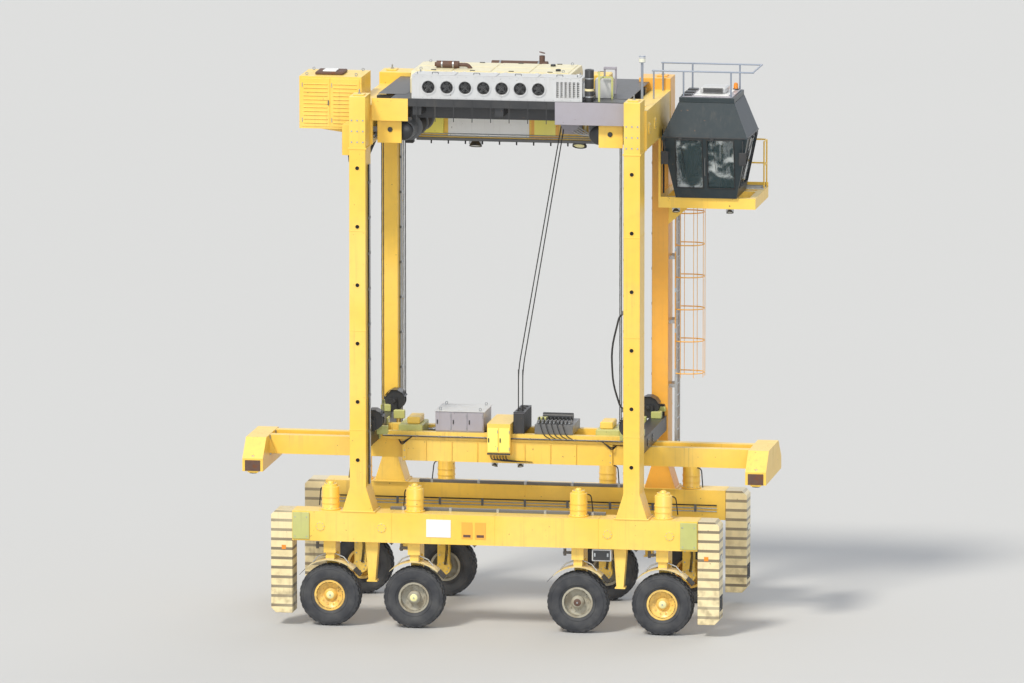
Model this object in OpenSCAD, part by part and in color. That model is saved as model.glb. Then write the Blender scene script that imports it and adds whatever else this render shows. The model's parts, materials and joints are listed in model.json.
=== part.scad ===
// Straddle carrier, eight wheels, empty spreader at the forty foot setting.
// Millimetres. +X is forward, +Y is the cab side, +Z is up. The origin is on the ground, at the centre.

/* [Wheels and steering] */
// Outer diameter of a tyre
tyre_d = 1420; // [1380:10:1480]
// Width of a tyre at its widest
tyre_w = 430; // [390:5:440]
// Distance from the end of a side beam to the axle next to it
axle_inset = 840; // [820:10:900]
// Distance between the two axles at one end
axle_pitch = 1960; // [1900:10:1980]
// Distance of a wheel's middle plane from the centre line
wheel_y = 2120; // [2100:5:2140]
// Diameter of the steering pin
king_d = 200; // [160:5:220]
// Diameter of the fixed axle in each wheel hub
axle_d = 140; // [120:5:160]
// Width of a steering leg across the machine
leg_w = 170; // [140:5:175]
// Diameter of the rim where the tyre sits
rim_d = 636; // [600:2:660]
// Gap between a mudguard and its tyre
guard_gap = 110; // [90:5:120]

/* [Side beams] */
// Half length of a side beam
beam_half_l = 4700; // [4680:10:4800]
// Width of a side beam
beam_w = 620; // [560:10:640]
// Height of a side beam
beam_h = 690; // [660:10:720]
// Underside of the side beams above the ground
beam_z = 2000; // [1950:10:2060]
// Distance of the machine's outer planes from the centre line
outer_y = 2450; // [2430:10:2500]
// Length of a bumper post along the machine
bumper_l = 500; // [300:10:520]
// Width of a bumper post
bumper_w = 580; // [460:10:600]
// Lower end of a bumper post above the ground
bumper_z = 300; // [250:10:500]
// Height of a suspension pot above the beam
pot_h = 600; // [540:10:640]
// Diameter of a suspension pot
pot_d = 400; // [340:10:440]
// Underside of the jacking pads above the ground
pad_z = 1050; // [1000:10:1200]
// Side of a square jacking pad
pad_w = 240; // [200:10:260]

/* [Portal frame] */
// Distance from the end of a side beam to a column's middle plane
column_inset = 1530; // [1500:10:1560]
// Length of a column's section along the machine
column_l = 380; // [340:10:420]
// Width of a column's section across the machine
column_w = 680; // [640:10:700]
// Length of a column's foot where it meets the beam
foot_l = 740; // [680:10:780]
// Height of the flare at a column's foot
foot_h = 580; // [480:10:640]
// Length of a column's head on the cab side
head_l = 740; // [700:10:780]
// Height over which the head flares
flare_h = 550; // [480:10:600]
// Top of a column's head above the crossbeams
head_rise = 280; // [220:10:340]
// Length of a crossbeam's section along the machine
cross_l = 460; // [420:10:480]
// Height of a crossbeam
cross_h = 900; // [860:10:920]
// Top of the crossbeams
cross_top_z = 12020; // [11990:10:12040]
// Underside of the long girder below that of the crossbeams
girder_drop = 370; // [340:10:400]
// Height of the long girder on the cab side
girder_h = 610; // [560:10:640]
// Width of the long girder
girder_w = 460; // [400:10:480]

/* [Top deck] */
// Front edge of the deck plate
deck_x1 = 2600; // [2400:10:2650]
// Rear edge of the deck plate
deck_x0 = -2500; // [-2600:10:-2400]
// Edge of the deck on the open side
deck_y0 = -1850; // [-1860:10:-1820]
// Edge of the deck on the cab side
deck_y1 = 2200; // [2100:10:2300]
// Height of the deck's edge frame, with the plate on it
deck_t = 180; // [140:5:200]
// Length of the ported housing
port_l = 3940; // [3880:10:4000]
// Height of the ported housing
port_h = 540; // [500:10:580]
// Width of the ported housing
port_w = 600; // [540:10:640]
// Diameter of a port
port_d = 300; // [240:10:340]
// Distance between neighbouring ports
port_pitch = 424; // [416:1:430]
// Number of ports
port_n = 7; // [5:1:7]
// Length of the engine hood
hood_l = 3700; // [3400:10:3900]
// Width of the engine hood
hood_w = 1900; // [1700:10:2000]
// Height of the engine hood
hood_h = 500; // [470:10:540]

/* [Cab] */
// Gap between the front crossbeam and the cab
cab_gap = 70; // [60:5:120]
// Length of the cab
cab_l = 1990; // [1960:10:2030]
// Outer side of the cab
cab_y1 = 1770; // [1760:5:1780]
// Inner side of the cab at its shoulder
cab_y0 = 0; // [-40:10:60]
// Height of the cab
cab_h = 2300; // [2260:10:2340]
// Roof of the cab above the crossbeams
cab_rise = 30; // [0:5:60]
// Thickness of the cab's walls
cab_t = 60; // [40:5:80]
// Thickness of a window pane
pane_t = 12; // [8:1:20]

/* [Lifting gear] */
// Underside of the lifting beams at rest
lift_z = 4100; // [4100:10:4180]
// Height of a lifting beam
lift_h = 340; // [300:10:380]
// Length of a lifting beam's section along the machine
lift_l = 340; // [300:10:360]
// Diameter of a rope sheave
sheave_d = 460; // [400:10:480]
// Thickness of a rope sheave
sheave_t = 70; // [50:5:80]
// Diameter of a hoist rope
rope_d = 26; // [20:1:32]
// Underside of the spreader at rest
spreader_z = 3300; // [3280:10:3340]
// Half length of the spreader between its corner locks
lock_x = 5853; // [5800:1:5880]
// Half width of the spreader between its corner locks
lock_y = 1130; // [1100:1:1140]
// Half length of the spreader's middle frame
sleeve_half_l = 2450; // [2300:10:2500]
// Height of a telescopic tube
tube_h = 440; // [400:10:450]
// Width of a telescopic tube
tube_w = 220; // [180:10:230]
// Length of a telescopic tube
tube_l = 4550; // [4400:10:4600]

/* [Hidden] */
$fn = 48;

// Finishes as the photo shows them
yellow = "#F2C230";
pale_yellow = "#F3DE8E";
dark = "#2B2D30";
grey = "#8E9496";
light_grey = "#C9CCCB";
rubber = "#2F3237";
blue_grey = "#6E8796";

// Clearances
turn_gap = 0.5; // round a pin or an axle
slide_gap = 6; // between a sliding piece and its guide
seat_gap = 0.3; // where a piece seats or rests on another
thrust_gap = 6; // between a steering head and its beam

// Sides of the machine
RIGHT = -1;
LEFT = 1;
FRONT = 1;
REAR = -1;

// Derived places
outer_axle_x = beam_half_l - axle_inset;
inner_axle_x = outer_axle_x - axle_pitch;
axle_xs = [outer_axle_x, inner_axle_x, -inner_axle_x, -outer_axle_x];
axle_z = tyre_d / 2;
beam_top_z = beam_z + beam_h;
beam_y0 = outer_y - beam_w;
column_y0 = outer_y - column_w;
column_x = beam_half_l - column_inset;
cross_z0 = cross_top_z - cross_h;
cross_x0 = column_x - cross_l / 2;
cross_x1 = column_x + cross_l / 2;
deck_z = cross_top_z + deck_t;
head_z0 = cross_z0 - girder_drop;
head_z1 = head_z0 + flare_h;
head_top_z = cross_top_z + head_rise;
cab_x0 = cross_x1 + cab_gap;
cab_x1 = cab_x0 + cab_l;
cab_z1 = cross_top_z + cab_rise;
cab_z0 = cab_z1 - cab_h;

// A box between two corners
module block(a, b) {
  translate(a) cube(b - a);
}

// A side profile, given as points of X and Z, from y0 to y1
module across(profile, y0, y1) {
  translate([0, y1, 0]) rotate([90, 0, 0]) linear_extrude(y1 - y0) polygon(profile);
}

// An end profile, given as points of Y and Z, from x0 to x1
module along(profile, x0, x1) {
  translate([x0, 0, 0]) rotate([90, 0, 90]) linear_extrude(x1 - x0) polygon(profile);
}

// A round bar along Y
module bar_y(d, y0, y1) {
  translate([0, y0, 0]) rotate([-90, 0, 0]) cylinder(d = d, h = y1 - y0);
}

// A round bar along X
module bar_x(d, x0, x1) {
  translate([x0, 0, 0]) rotate([0, 90, 0]) cylinder(d = d, h = x1 - x0);
}

// Puts what is drawn for the cab side on the side asked for
module on_side(side) {
  if (side == LEFT) children();
  else mirror([0, 1, 0]) children();
}

// Puts what is drawn for the front on the end asked for
module on_end(end) {
  if (end == FRONT) children();
  else mirror([1, 0, 0]) children();
}

// Draws its children at all four corners
module four_corners() {
  for (end = [FRONT, REAR], side = [RIGHT, LEFT]) on_end(end) on_side(side) children();
}

// Side beams, with a bore for each steering pin and two struts with jacking pads
strut_x = (outer_axle_x + inner_axle_x) / 2;
strut_top_l = 300;
strut_taper = 40;
pad_t = 30;
module side_beam(side) {
  color(yellow) on_side(side) {
    difference() {
      block([-beam_half_l, beam_y0, beam_z], [beam_half_l, outer_y, beam_top_z]);
      for (x = axle_xs)
        translate([x, wheel_y, beam_z - 1]) cylinder(d = king_d + 2 * turn_gap, h = beam_h + 2);
    }
    for (end = [FRONT, REAR]) on_end(end) strut();
  }
}

module strut() {
  top = strut_top_l / 2;
  foot = pad_w / 2 - strut_taper;
  mid_y = beam_y0 + beam_w / 2;
  across([[strut_x - foot, pad_z + pad_t - 1], [strut_x + foot, pad_z + pad_t - 1],
          [strut_x + top, beam_z + 1], [strut_x - top, beam_z + 1]],
         mid_y - pad_w / 2, mid_y + pad_w / 2);
  block([strut_x - pad_w / 2, mid_y - pad_w / 2, pad_z],
        [strut_x + pad_w / 2, mid_y + pad_w / 2, pad_z + pad_t]);
}

// Bumper posts on the ends of the side beams
bumper_chamfer = 110;
module bumpers() {
  y1 = outer_y - (beam_w - bumper_w) / 2;
  y0 = y1 - bumper_w;
  x1 = beam_half_l + bumper_l;
  color(dark) four_corners()
    across([[beam_half_l, bumper_z], [x1 - bumper_chamfer, bumper_z], [x1, bumper_z + bumper_chamfer],
            [x1, beam_top_z - bumper_chamfer], [x1 - bumper_chamfer, beam_top_z],
            [beam_half_l, beam_top_z]], y0, y1);
}

// Suspension pots on the side beams, one above each steering pin
pin_in_pot = 300;
pot_foot_t = 40;
pot_foot_w = 30;
pot_cap_h = 60;
pot_cap_in = 45;
module suspension_pots() {
  color(yellow)
    for (x = axle_xs, side = [RIGHT, LEFT]) on_side(side)
      translate([x, wheel_y, beam_top_z]) difference() {
        union() {
          cylinder(d = pot_d + 2 * pot_foot_w, h = pot_foot_t);
          cylinder(d = pot_d, h = pot_h - pot_cap_h);
          cylinder(d = pot_d - 2 * pot_cap_in, h = pot_h);
        }
        translate([0, 0, -1]) cylinder(d = king_d + 2 * turn_gap, h = pin_in_pot + slide_gap + 1);
      }
}

// Columns
column_x0 = column_x - column_l / 2;
column_x1 = column_x + column_l / 2;
head_lip = 50;
head_x1 = column_x1 + head_lip;
head_x0 = head_x1 - head_l;
column_foot = [
  [column_x0, beam_top_z + foot_h], [column_x - foot_l / 2, beam_top_z],
  [column_x + foot_l / 2, beam_top_z], [column_x1, beam_top_z + foot_h]
];
// On the cab side the head has a haunch that meets the long girder
column_head = [
  [column_x1, head_z0], [head_x1, head_z1], [head_x1, head_top_z],
  [head_x0, head_top_z], [head_x0, head_z1], [column_x0, head_z0]
];
plain_head = [[column_x1, head_top_z], [column_x0, head_top_z]];
module column(end, side) {
  color(yellow) on_end(end) on_side(side)
    across(concat(column_foot, side == LEFT ? column_head : plain_head), column_y0, outer_y);
}

// Crossbeams between the column heads
module crossbeam(end) {
  color(yellow) on_end(end)
    block([cross_x0, -column_y0, cross_z0], [cross_x1, column_y0, cross_top_z]);
}

// The long girder on the cab side, between the column heads
girder_y0 = outer_y - (column_w + girder_w) / 2;
module top_girder() {
  z1 = head_z0 + girder_h;
  color(yellow)
    across([[-column_x0, head_z0], [column_x0, head_z0], [head_x0, head_z1], [head_x0, z1],
            [-head_x0, z1], [-head_x0, head_z1]], girder_y0, girder_y0 + girder_w);
}

// The deck between the crossbeams: a plate with an edge frame, on two long bearers and three ties
deck_plate_t = 40;
deck_edge_w = 60;
bearer_w = 200;
bearer_h = 350;
bearer_ys = [-1080, 1080];
tie_xs = [-1900, 0, 1900];
module deck() {
  color(dark) {
    difference() {
      block([deck_x0, deck_y0, cross_top_z], [deck_x1, deck_y1, deck_z]);
      block([deck_x0 + deck_edge_w, deck_y0 + deck_edge_w, cross_top_z - 1],
            [deck_x1 - deck_edge_w, deck_y1 - deck_edge_w, deck_z - deck_plate_t]);
    }
    for (y = bearer_ys)
      block([-cross_x0, y - bearer_w / 2, cross_top_z - bearer_h],
            [cross_x0, y + bearer_w / 2, deck_z - deck_plate_t + 1]);
    for (x = tie_xs)
      block([x - bearer_w / 2, deck_y0 + deck_edge_w - 1, cross_top_z - bearer_w],
            [x + bearer_w / 2, column_y0, deck_z - deck_plate_t + 1]);
  }
}

// The housing with round ports on the open side of the deck
port_x0 = -2020;
port_first_x = -1630;
port_depth = 60;
slot_first_x = 1330;
slot_w = 50;
slot_pitch = 95;
slot_n = 6;
slot_margin = 90;
port_edge = 30;
ring_w = 28;
ring_t = 18;
module port_housing() {
  y0 = deck_y0 + port_edge;
  color(light_grey) difference() {
    union() {
      block([port_x0, y0, deck_z], [port_x0 + port_l, y0 + port_w, deck_z + port_h]);
      for (i = [0 : port_n - 1])
        translate([port_first_x + i * port_pitch, 0, deck_z + port_h / 2])
          bar_y(port_d + 2 * ring_w, y0 - ring_t, y0 + 1);
    }
    for (i = [0 : port_n - 1])
      translate([port_first_x + i * port_pitch, 0, deck_z + port_h / 2])
        bar_y(port_d, y0 - ring_t - 1, y0 + port_depth);
    for (i = [0 : slot_n - 1])
      translate([slot_first_x + i * slot_pitch, 0, 0])
        block([0, y0 - 1, deck_z + slot_margin], [slot_w, y0 + port_depth, deck_z + port_h - slot_margin]);
  }
}

// The engine hood, and the engine in it as one block
hood_x0 = -2200;
hood_y0 = -970;
hood_t = 40;
hood_chamfer = 160;
function hood_profile(t) = [
  [hood_y0 + t, deck_z], [hood_y0 + hood_w - t, deck_z],
  [hood_y0 + hood_w - t, deck_z + hood_h - hood_chamfer],
  [hood_y0 + hood_w - hood_chamfer, deck_z + hood_h - t],
  [hood_y0 + hood_chamfer, deck_z + hood_h - t],
  [hood_y0 + t, deck_z + hood_h - hood_chamfer]
];
module engine_hood() {
  color(pale_yellow) difference() {
    along(hood_profile(0), hood_x0, hood_x0 + hood_l);
    translate([0, 0, -1]) along(hood_profile(hood_t), hood_x0 + hood_t, hood_x0 + hood_l - hood_t);
  }
}

engine_l = 1700;
engine_w = 900;
engine_h = 400;
engine_x = -500;
hood_mid_y = hood_y0 + hood_w / 2;
module engine() {
  color(grey)
    block([engine_x - engine_l / 2, hood_mid_y - engine_w / 2, deck_z],
          [engine_x + engine_l / 2, hood_mid_y + engine_w / 2, deck_z + engine_h]);
}

// The silencer beside the hood on two saddles, and the tail pipe that lies on the hood
silencer_d = 360;
silencer_l = 1300;
silencer_x0 = -700;
silencer_y = 1400;
silencer_z = 300;
saddle_w = 240;
saddle_t = 60;
saddle_in = 250;
pipe_d = 130;
tail_d = 170;
tail_x = [-1700, -1180];
tail_y = -300;
module exhaust() {
  silencer_x1 = silencer_x0 + silencer_l;
  hood_z = deck_z + hood_h;
  color("#8C4A32") {
    translate([0, silencer_y, deck_z + silencer_z]) bar_x(silencer_d, silencer_x0, silencer_x1);
    for (x = [silencer_x0 + saddle_in, silencer_x1 - saddle_in])
      block([x - saddle_t / 2, silencer_y - saddle_w / 2, deck_z],
            [x + saddle_t / 2, silencer_y + saddle_w / 2, deck_z + silencer_z]);
    translate([silencer_x1 - pipe_d, silencer_y, deck_z + silencer_z])
      cylinder(d = pipe_d, h = silencer_d / 2 + pipe_d);
    translate([0, tail_y, hood_z + tail_d / 2 + slide_gap]) bar_x(tail_d, tail_x[0], tail_x[1]);
    for (x = [tail_x[0] + pipe_d, tail_x[1] - pipe_d])
      block([x - saddle_t / 2, tail_y - tail_d / 3, hood_z],
            [x + saddle_t / 2, tail_y + tail_d / 3, hood_z + tail_d / 2]);
  }
}

// The upright air cleaner at the deck's edge, in two drums with a pale band between them
cleaner_x = 2070;
cleaner_y = -1700;
cleaner_d = 210;
cleaner_h = 740;
cleaner_waist = 60;
module air_cleaner() {
  color(dark) translate([cleaner_x, cleaner_y, deck_z]) {
    cylinder(d = cleaner_d, h = cleaner_h / 3);
    cylinder(d = cleaner_d - cleaner_waist, h = cleaner_h);
    translate([0, 0, cleaner_h / 3 + cleaner_waist])
      cylinder(d = cleaner_d, h = 2 * cleaner_h / 3 - cleaner_waist);
  }
}

// Where the falls of the hoist ropes hang at each corner
rope_x = column_x - 410;
rope_ys = [1340, 1560];

// A rope sheave along Y with a groove; the rope runs at the radius that rope_r gives
groove_lip = 4;
groove_r = sheave_d / 2 - rope_d - groove_lip / 2;
rope_r = groove_r + rope_d / 2 + seat_gap;
sheave_pin_d = 90;
module sheave() {
  rotate([-90, 0, 0]) rotate_extrude() polygon([
    [0, -sheave_t / 2], [sheave_d / 2, -sheave_t / 2], [sheave_d / 2, -rope_d / 2 - groove_lip],
    [groove_r, -rope_d / 2], [groove_r, rope_d / 2], [sheave_d / 2, rope_d / 2 + groove_lip],
    [sheave_d / 2, sheave_t / 2], [0, sheave_t / 2]
  ]);
}

// The two sheaves of one corner on their pin, and where the cheek plates on each side of them stand
cheek_t = 30;
cheek_w = 120;
cheek_off = 80;
cheek_ys = [rope_ys[0] - cheek_off, rope_ys[1] + cheek_off];
module sheave_pair(x, z) {
  for (y = rope_ys) translate([x, y, z]) sheave();
  translate([x, 0, z]) bar_y(sheave_pin_d, cheek_ys[0] - cheek_t, cheek_ys[1] + cheek_t);
}

// Hoist drums under the deck, with their motors, and the rope sheaves above each corner
drum_d = 520;
drum_half_l = 800;
drum_x = column_x - 920;
drum_drop = 620;
drum_z = cross_top_z - drum_drop;
drum_flange = 45;
drum_flange_t = 40;
drum_shaft_d = 160;
drum_shaft_out = 120;
motor_d = 420;
motor_l = 540;
motor_gap = 160;
hanger_w = 180;
hanger_t = 80;
hanger_off = [100, 60];
top_sheave_rise = 330;
top_sheave_z = cross_z0 + top_sheave_rise;
module hoist_gear() {
  color(grey) for (end = [FRONT, REAR]) on_end(end) {
    translate([drum_x, 0, drum_z]) {
      bar_y(drum_d, -drum_half_l, drum_half_l);
      for (y = [-drum_half_l, 0, drum_half_l])
        bar_y(drum_d + 2 * drum_flange, y - drum_flange_t / 2, y + drum_flange_t / 2);
      bar_y(drum_shaft_d, -drum_half_l - motor_gap, drum_half_l + drum_shaft_out);
      bar_y(motor_d, -drum_half_l - motor_gap - motor_l, -drum_half_l - motor_gap);
    }
    for (y = [-drum_half_l - hanger_off[0], drum_half_l + hanger_off[1]])
      block([drum_x - hanger_w / 2, y - hanger_t / 2, drum_z],
            [drum_x + hanger_w / 2, y + hanger_t / 2, cross_top_z]);
  }
  color(dark) four_corners() {
    sheave_pair(rope_x - rope_r, top_sheave_z);
    for (y = cheek_ys)
      block([rope_x - rope_r - cheek_w / 2, y - cheek_t / 2, top_sheave_z - cheek_w / 2],
            [cross_x0, y + cheek_t / 2, top_sheave_z + cheek_w / 2]);
  }
}

// The louvred cabinet behind the rear crossbeam, and the grey box hung beside it
cabinet_l = 1450;
cabinet_y = [-600, 600];
cabinet_z = [cross_top_z - 740, cross_top_z + 470];
cabinet_panel_t = 14;
cabinet_margin = 50;
louvre_n = 11;
louvre_h = 26;
louvre_in = 60;
junction_y = [-1450, -800];
junction_z = [cross_z0 - 320, cross_z0 + 380];
junction_l = 300;
module rear_cabinet() {
  x0 = -cross_x1 - cabinet_l;
  mid_x = x0 + cabinet_l / 2;
  z0 = cabinet_z[0] + cabinet_margin;
  z1 = cabinet_z[1] - cabinet_margin;
  louvre_pitch = (z1 - z0 - 2 * louvre_in) / louvre_n;
  louvre_z0 = z0 + louvre_in;
  color(yellow) {
    block([x0, cabinet_y[0], cabinet_z[0]], [-cross_x1, cabinet_y[1], cabinet_z[1]]);
    // two louvred doors on each long side
    for (bay = [[x0 + cabinet_margin, mid_x - cabinet_panel_t],
                [mid_x + cabinet_panel_t, -cross_x1 - cabinet_margin]])
      difference() {
        block([bay[0], cabinet_y[0] - cabinet_panel_t, z0], [bay[1], cabinet_y[1] + cabinet_panel_t, z1]);
        for (i = [0 : louvre_n - 1], face = [cabinet_y[0] - cabinet_panel_t, cabinet_y[1]])
          block([bay[0] + louvre_in, face - 1, louvre_z0 + i * louvre_pitch],
                [bay[1] - louvre_in, face + cabinet_panel_t + 1, louvre_z0 + i * louvre_pitch + louvre_h]);
      }
  }
  color(grey)
    block([-cross_x1 - junction_l, junction_y[0], junction_z[0]], [-cross_x1, junction_y[1], junction_z[1]]);
}

// The cab's side profile, as points of X and Z, moved inwards by t
cab_shoulder_z = cab_z0 + 1420;
cab_roof_x0 = cab_x0 + 400;
cab_roof_x1 = cab_x1 - 370;
cab_foot_in = 290;
cab_bevel_y = 280;
cab_roof_y0 = cab_y0 + 260;
function cab_side(t) = [
  [cab_x0 + cab_foot_in + t, cab_z0 + t], [cab_x1 - cab_foot_in - t, cab_z0 + t],
  [cab_x1 - t, cab_shoulder_z], [cab_roof_x1 - t / 2, cab_z1 - t],
  [cab_roof_x0 + t / 2, cab_z1 - t], [cab_x0 + t, cab_shoulder_z]
];
// The cab's end profile, as points of Y and Z, moved inwards by t
function cab_end(t) = [
  [cab_y0 + cab_bevel_y + t, cab_z0 + t], [cab_y1 - t, cab_z0 + t],
  [cab_y1 - t, cab_z1 - t], [cab_roof_y0 + t / 2, cab_z1 - t],
  [cab_y0 + t, cab_shoulder_z]
];
module cab_solid(t) {
  intersection() {
    across(cab_side(t), cab_y0 - 10, cab_y1 + 10);
    along(cab_end(t), cab_x0 - 10, cab_x1 + 10);
  }
}

// Everything above the roof seam is the roof, everything below it is the body
roof_seam_z = cab_z1 - 90;
sill_z = cab_z0 + 240;
header_z = cab_shoulder_z - 40;
post_w = 110;
side_post_w = 320;
door_x = [cab_x0 + 330, cab_x0 + 970];
door_z = [cab_z0 + 120, cab_shoulder_z + 110];
leaf_t = 40;
leaf_lap = 40;
leaf_x = [door_x[0] - leaf_lap, door_x[1] + leaf_lap];
leaf_z = [door_z[0] - leaf_lap, door_z[1] + leaf_lap];
door_travel = 680;
door_rail_h = 40;
door_rail_y = slide_gap + leaf_t + 10;
module cab_openings() {
  y_mid = (cab_y0 + cab_y1) / 2;
  x_mid = cab_x0 + cab_l / 2;
  // front and rear windows
  block([cab_x0 - 50, cab_y0 + cab_bevel_y + post_w, sill_z],
        [cab_x1 + 50, cab_y1 - post_w, header_z]);
  // windows of the inner side, in two bays
  for (bay = [[cab_x0 + side_post_w, x_mid - post_w / 2], [x_mid + post_w / 2, cab_x1 - side_post_w]])
    block([bay[0], cab_y0 - 50, sill_z], [bay[1], y_mid, header_z]);
  // window of the outer side, ahead of the door
  block([door_x[1] + post_w, y_mid, sill_z], [cab_x1 - side_post_w, cab_y1 + 50, header_z]);
}

module cab_body() {
  color(dark) difference() {
    cab_solid(0);
    cab_solid(cab_t);
    block([cab_x0 - 50, cab_y0 - 50, roof_seam_z], [cab_x1 + 50, cab_y1 + 50, cab_z1 + 50]);
    cab_openings();
    block([door_x[0], cab_y1 - cab_t - 5, door_z[0]], [door_x[1], cab_y1 + 50, door_z[1]]);
  }
  color(dark) for (z = [leaf_z[0] - turn_gap - door_rail_h, leaf_z[1] + slide_gap])
    block([leaf_x[0], cab_y1 - 1, z], [leaf_x[1] + door_travel, cab_y1 + door_rail_y, z + door_rail_h]);
}

// The roof panel laps over the body a little on every side
roof_lap = 30;
module cab_roof() {
  color(light_grey)
    block([cab_roof_x0 - roof_lap, cab_roof_y0 - roof_lap, roof_seam_z],
          [cab_roof_x1 + roof_lap, cab_y1, cab_z1 + roof_lap]);
}

pane_in = 20;
module cab_windows() {
  color([0.12, 0.2, 0.24, 0.6]) intersection() {
    difference() {
      cab_solid(pane_in);
      cab_solid(pane_in + pane_t);
    }
    cab_openings();
  }
}

// The sliding door on the cab's outer side
module cab_door() {
  y0 = cab_y1 + slide_gap;
  color(dark) difference() {
    block([leaf_x[0], y0, leaf_z[0]], [leaf_x[1], y0 + leaf_t, leaf_z[1]]);
    block([leaf_x[0] + post_w, y0 - 1, sill_z + 50],
          [leaf_x[1] - post_w, y0 + leaf_t - pane_t, leaf_z[1] - post_w]);
  }
}

// The seat on its pedestal
seat_x = cab_x0 + 980;
seat_y = (cab_y0 + cab_y1) / 2 + 15;
seat_w = 520;
pedestal_d = 300;
pedestal_h = 380;
cushion_t = 130;
back_x = -330;
back_t = 120;
back_z = [420, 1070];
module cab_seat() {
  color(dark) translate([seat_x, seat_y, cab_z0 + cab_t]) {
    cylinder(d = pedestal_d, h = pedestal_h);
    block([-seat_w / 2, -seat_w / 2, pedestal_h - 1], [seat_w / 2, seat_w / 2, pedestal_h + cushion_t]);
    block([back_x, -seat_w / 2, back_z[0]], [back_x + back_t, seat_w / 2, back_z[1]]);
  }
}

// The driver's console, one part on each side of the seat
console_w = 140;
console_h = 640;
console_x = [-200, 320];
console_gap = 40;
module cab_console() {
  color(grey) translate([seat_x, seat_y, cab_z0 + cab_t])
    for (y = [-seat_w / 2 - console_gap - console_w, seat_w / 2 + console_gap])
      block([console_x[0], y, 0], [console_x[1], y + console_w, console_h]);
}

// The platform that carries the cab: ribs, plate, a gusset on the column and a hanger on the crossbeam
platform_h = 250;
hanger_l = 50;
platform_x0 = cross_x1 - hanger_l;
platform_x1 = cab_x1 + 140;
platform_t = 90;
platform_in = 60;
platform_y0 = cab_y0 + cab_bevel_y + platform_in;
platform_y1 = outer_y - platform_in;
rib_w = 160;
rib_ys = [platform_y0, cab_y1 - rib_w - 110];
stub_y = column_y0 + 40;
gusset_l = 700;
gusset_h = 600;
gusset_t = 120;
gusset_in = 20;
module cab_platform() {
  z0 = cab_z0 - platform_h;
  color(yellow) {
    for (y = rib_ys) block([platform_x0, y, z0], [platform_x1, y + rib_w, cab_z0]);
    block([column_x1, stub_y, z0], [platform_x1, stub_y + rib_w, cab_z0]);
    block([column_x1, platform_y0, z0], [column_x1 + rib_w, platform_y1, cab_z0]);
    block([platform_x1 - rib_w, platform_y0, z0], [platform_x1, platform_y1, cab_z0]);
    block([column_x1 + gusset_h, stub_y + platform_in, cab_z0 - platform_t],
          [platform_x1, platform_y1, cab_z0]);
    across([[column_x1, z0 - gusset_h], [column_x1 + gusset_l, z0 + 1], [column_x1, z0 + 1]],
           stub_y - gusset_in, stub_y - gusset_in + gusset_t);
    block([platform_x0, platform_y0, z0], [cross_x1, platform_y0 + rib_w, cross_z0]);
  }
}

// Handrails over the cab, and the pole with its lamp on the front crossbeam
rail_d = 40;
rail_z = cab_z1 + 620;
rail_x1 = cab_x1 + 100;
rail_in = 60;
rail_back = 160;
pole_y = -950;
pole_d = 60;
pole_h = 1160;
lamp_d = 150;
module handrails() {
  post_x = cross_x1 - rail_back;
  color(blue_grey) {
    for (y = [cab_roof_y0 + rail_in, cab_y1 - rail_in]) {
      translate([0, y, rail_z]) bar_x(rail_d, post_x - rail_d, rail_x1);
      translate([post_x, y, cross_top_z]) cylinder(d = rail_d, h = rail_z - cross_top_z);
      for (x = [cab_roof_x0 + rail_in, cab_roof_x1 - rail_in])
        translate([x, y, cab_z1 + roof_lap]) cylinder(d = rail_d, h = rail_z - cab_z1 - roof_lap);
    }
    translate([rail_x1 - rail_d / 2, 0, rail_z]) bar_y(rail_d, cab_roof_y0 + rail_in, cab_y1 - rail_in);
    translate([column_x, pole_y, cross_top_z]) {
      cylinder(d = pole_d, h = pole_h);
      translate([0, 0, pole_h - lamp_d]) cylinder(d = lamp_d, h = lamp_d);
    }
  }
}

// The ladder on the front column: stringers, rungs and brackets
rung_pitch = 270;
rung_d = 30;
rung_first = 100;
ladder_w = 420;
ladder_rise = 710;
ladder_off = 150;
stringer_w = 60;
stringer_l = 60;
bracket_pitch = 1500;
bracket_first = 200;
bracket_w = 40;
bracket_h = 80;
module ladder() {
  y = outer_y - column_w / 2 + stringer_w;
  x = column_x1 + ladder_off;
  z0 = beam_top_z + ladder_rise;
  z1 = cab_z0 - platform_h;
  color(grey) {
    for (s = [-1, 1])
      block([x - stringer_l / 3, y + s * ladder_w / 2 - stringer_w / 2, z0],
            [x + 2 * stringer_l / 3, y + s * ladder_w / 2 + stringer_w / 2, z1]);
    for (z = [z0 + rung_first : rung_pitch : z1 - stringer_w])
      translate([x + stringer_l / 6, 0, z]) bar_y(rung_d, y - ladder_w / 2, y + ladder_w / 2);
    for (z = [z0 + bracket_first : bracket_pitch : z1], s = [-1, 1])
      block([column_x1, y + s * ladder_w / 2 - bracket_w / 2, z - bracket_h / 2],
            [x, y + s * ladder_w / 2 + bracket_w / 2, z + bracket_h / 2]);
  }
}

// Hoist ropes, two falls at each corner
sheave_lift = 15;
frame_sheave_z = lift_z + lift_h + sheave_d / 2 + sheave_lift;
module hoist_ropes() {
  color(dark) four_corners() for (y = rope_ys)
    translate([rope_x, y, frame_sheave_z]) cylinder(d = rope_d, h = top_sheave_z - frame_sheave_z);
}

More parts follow.
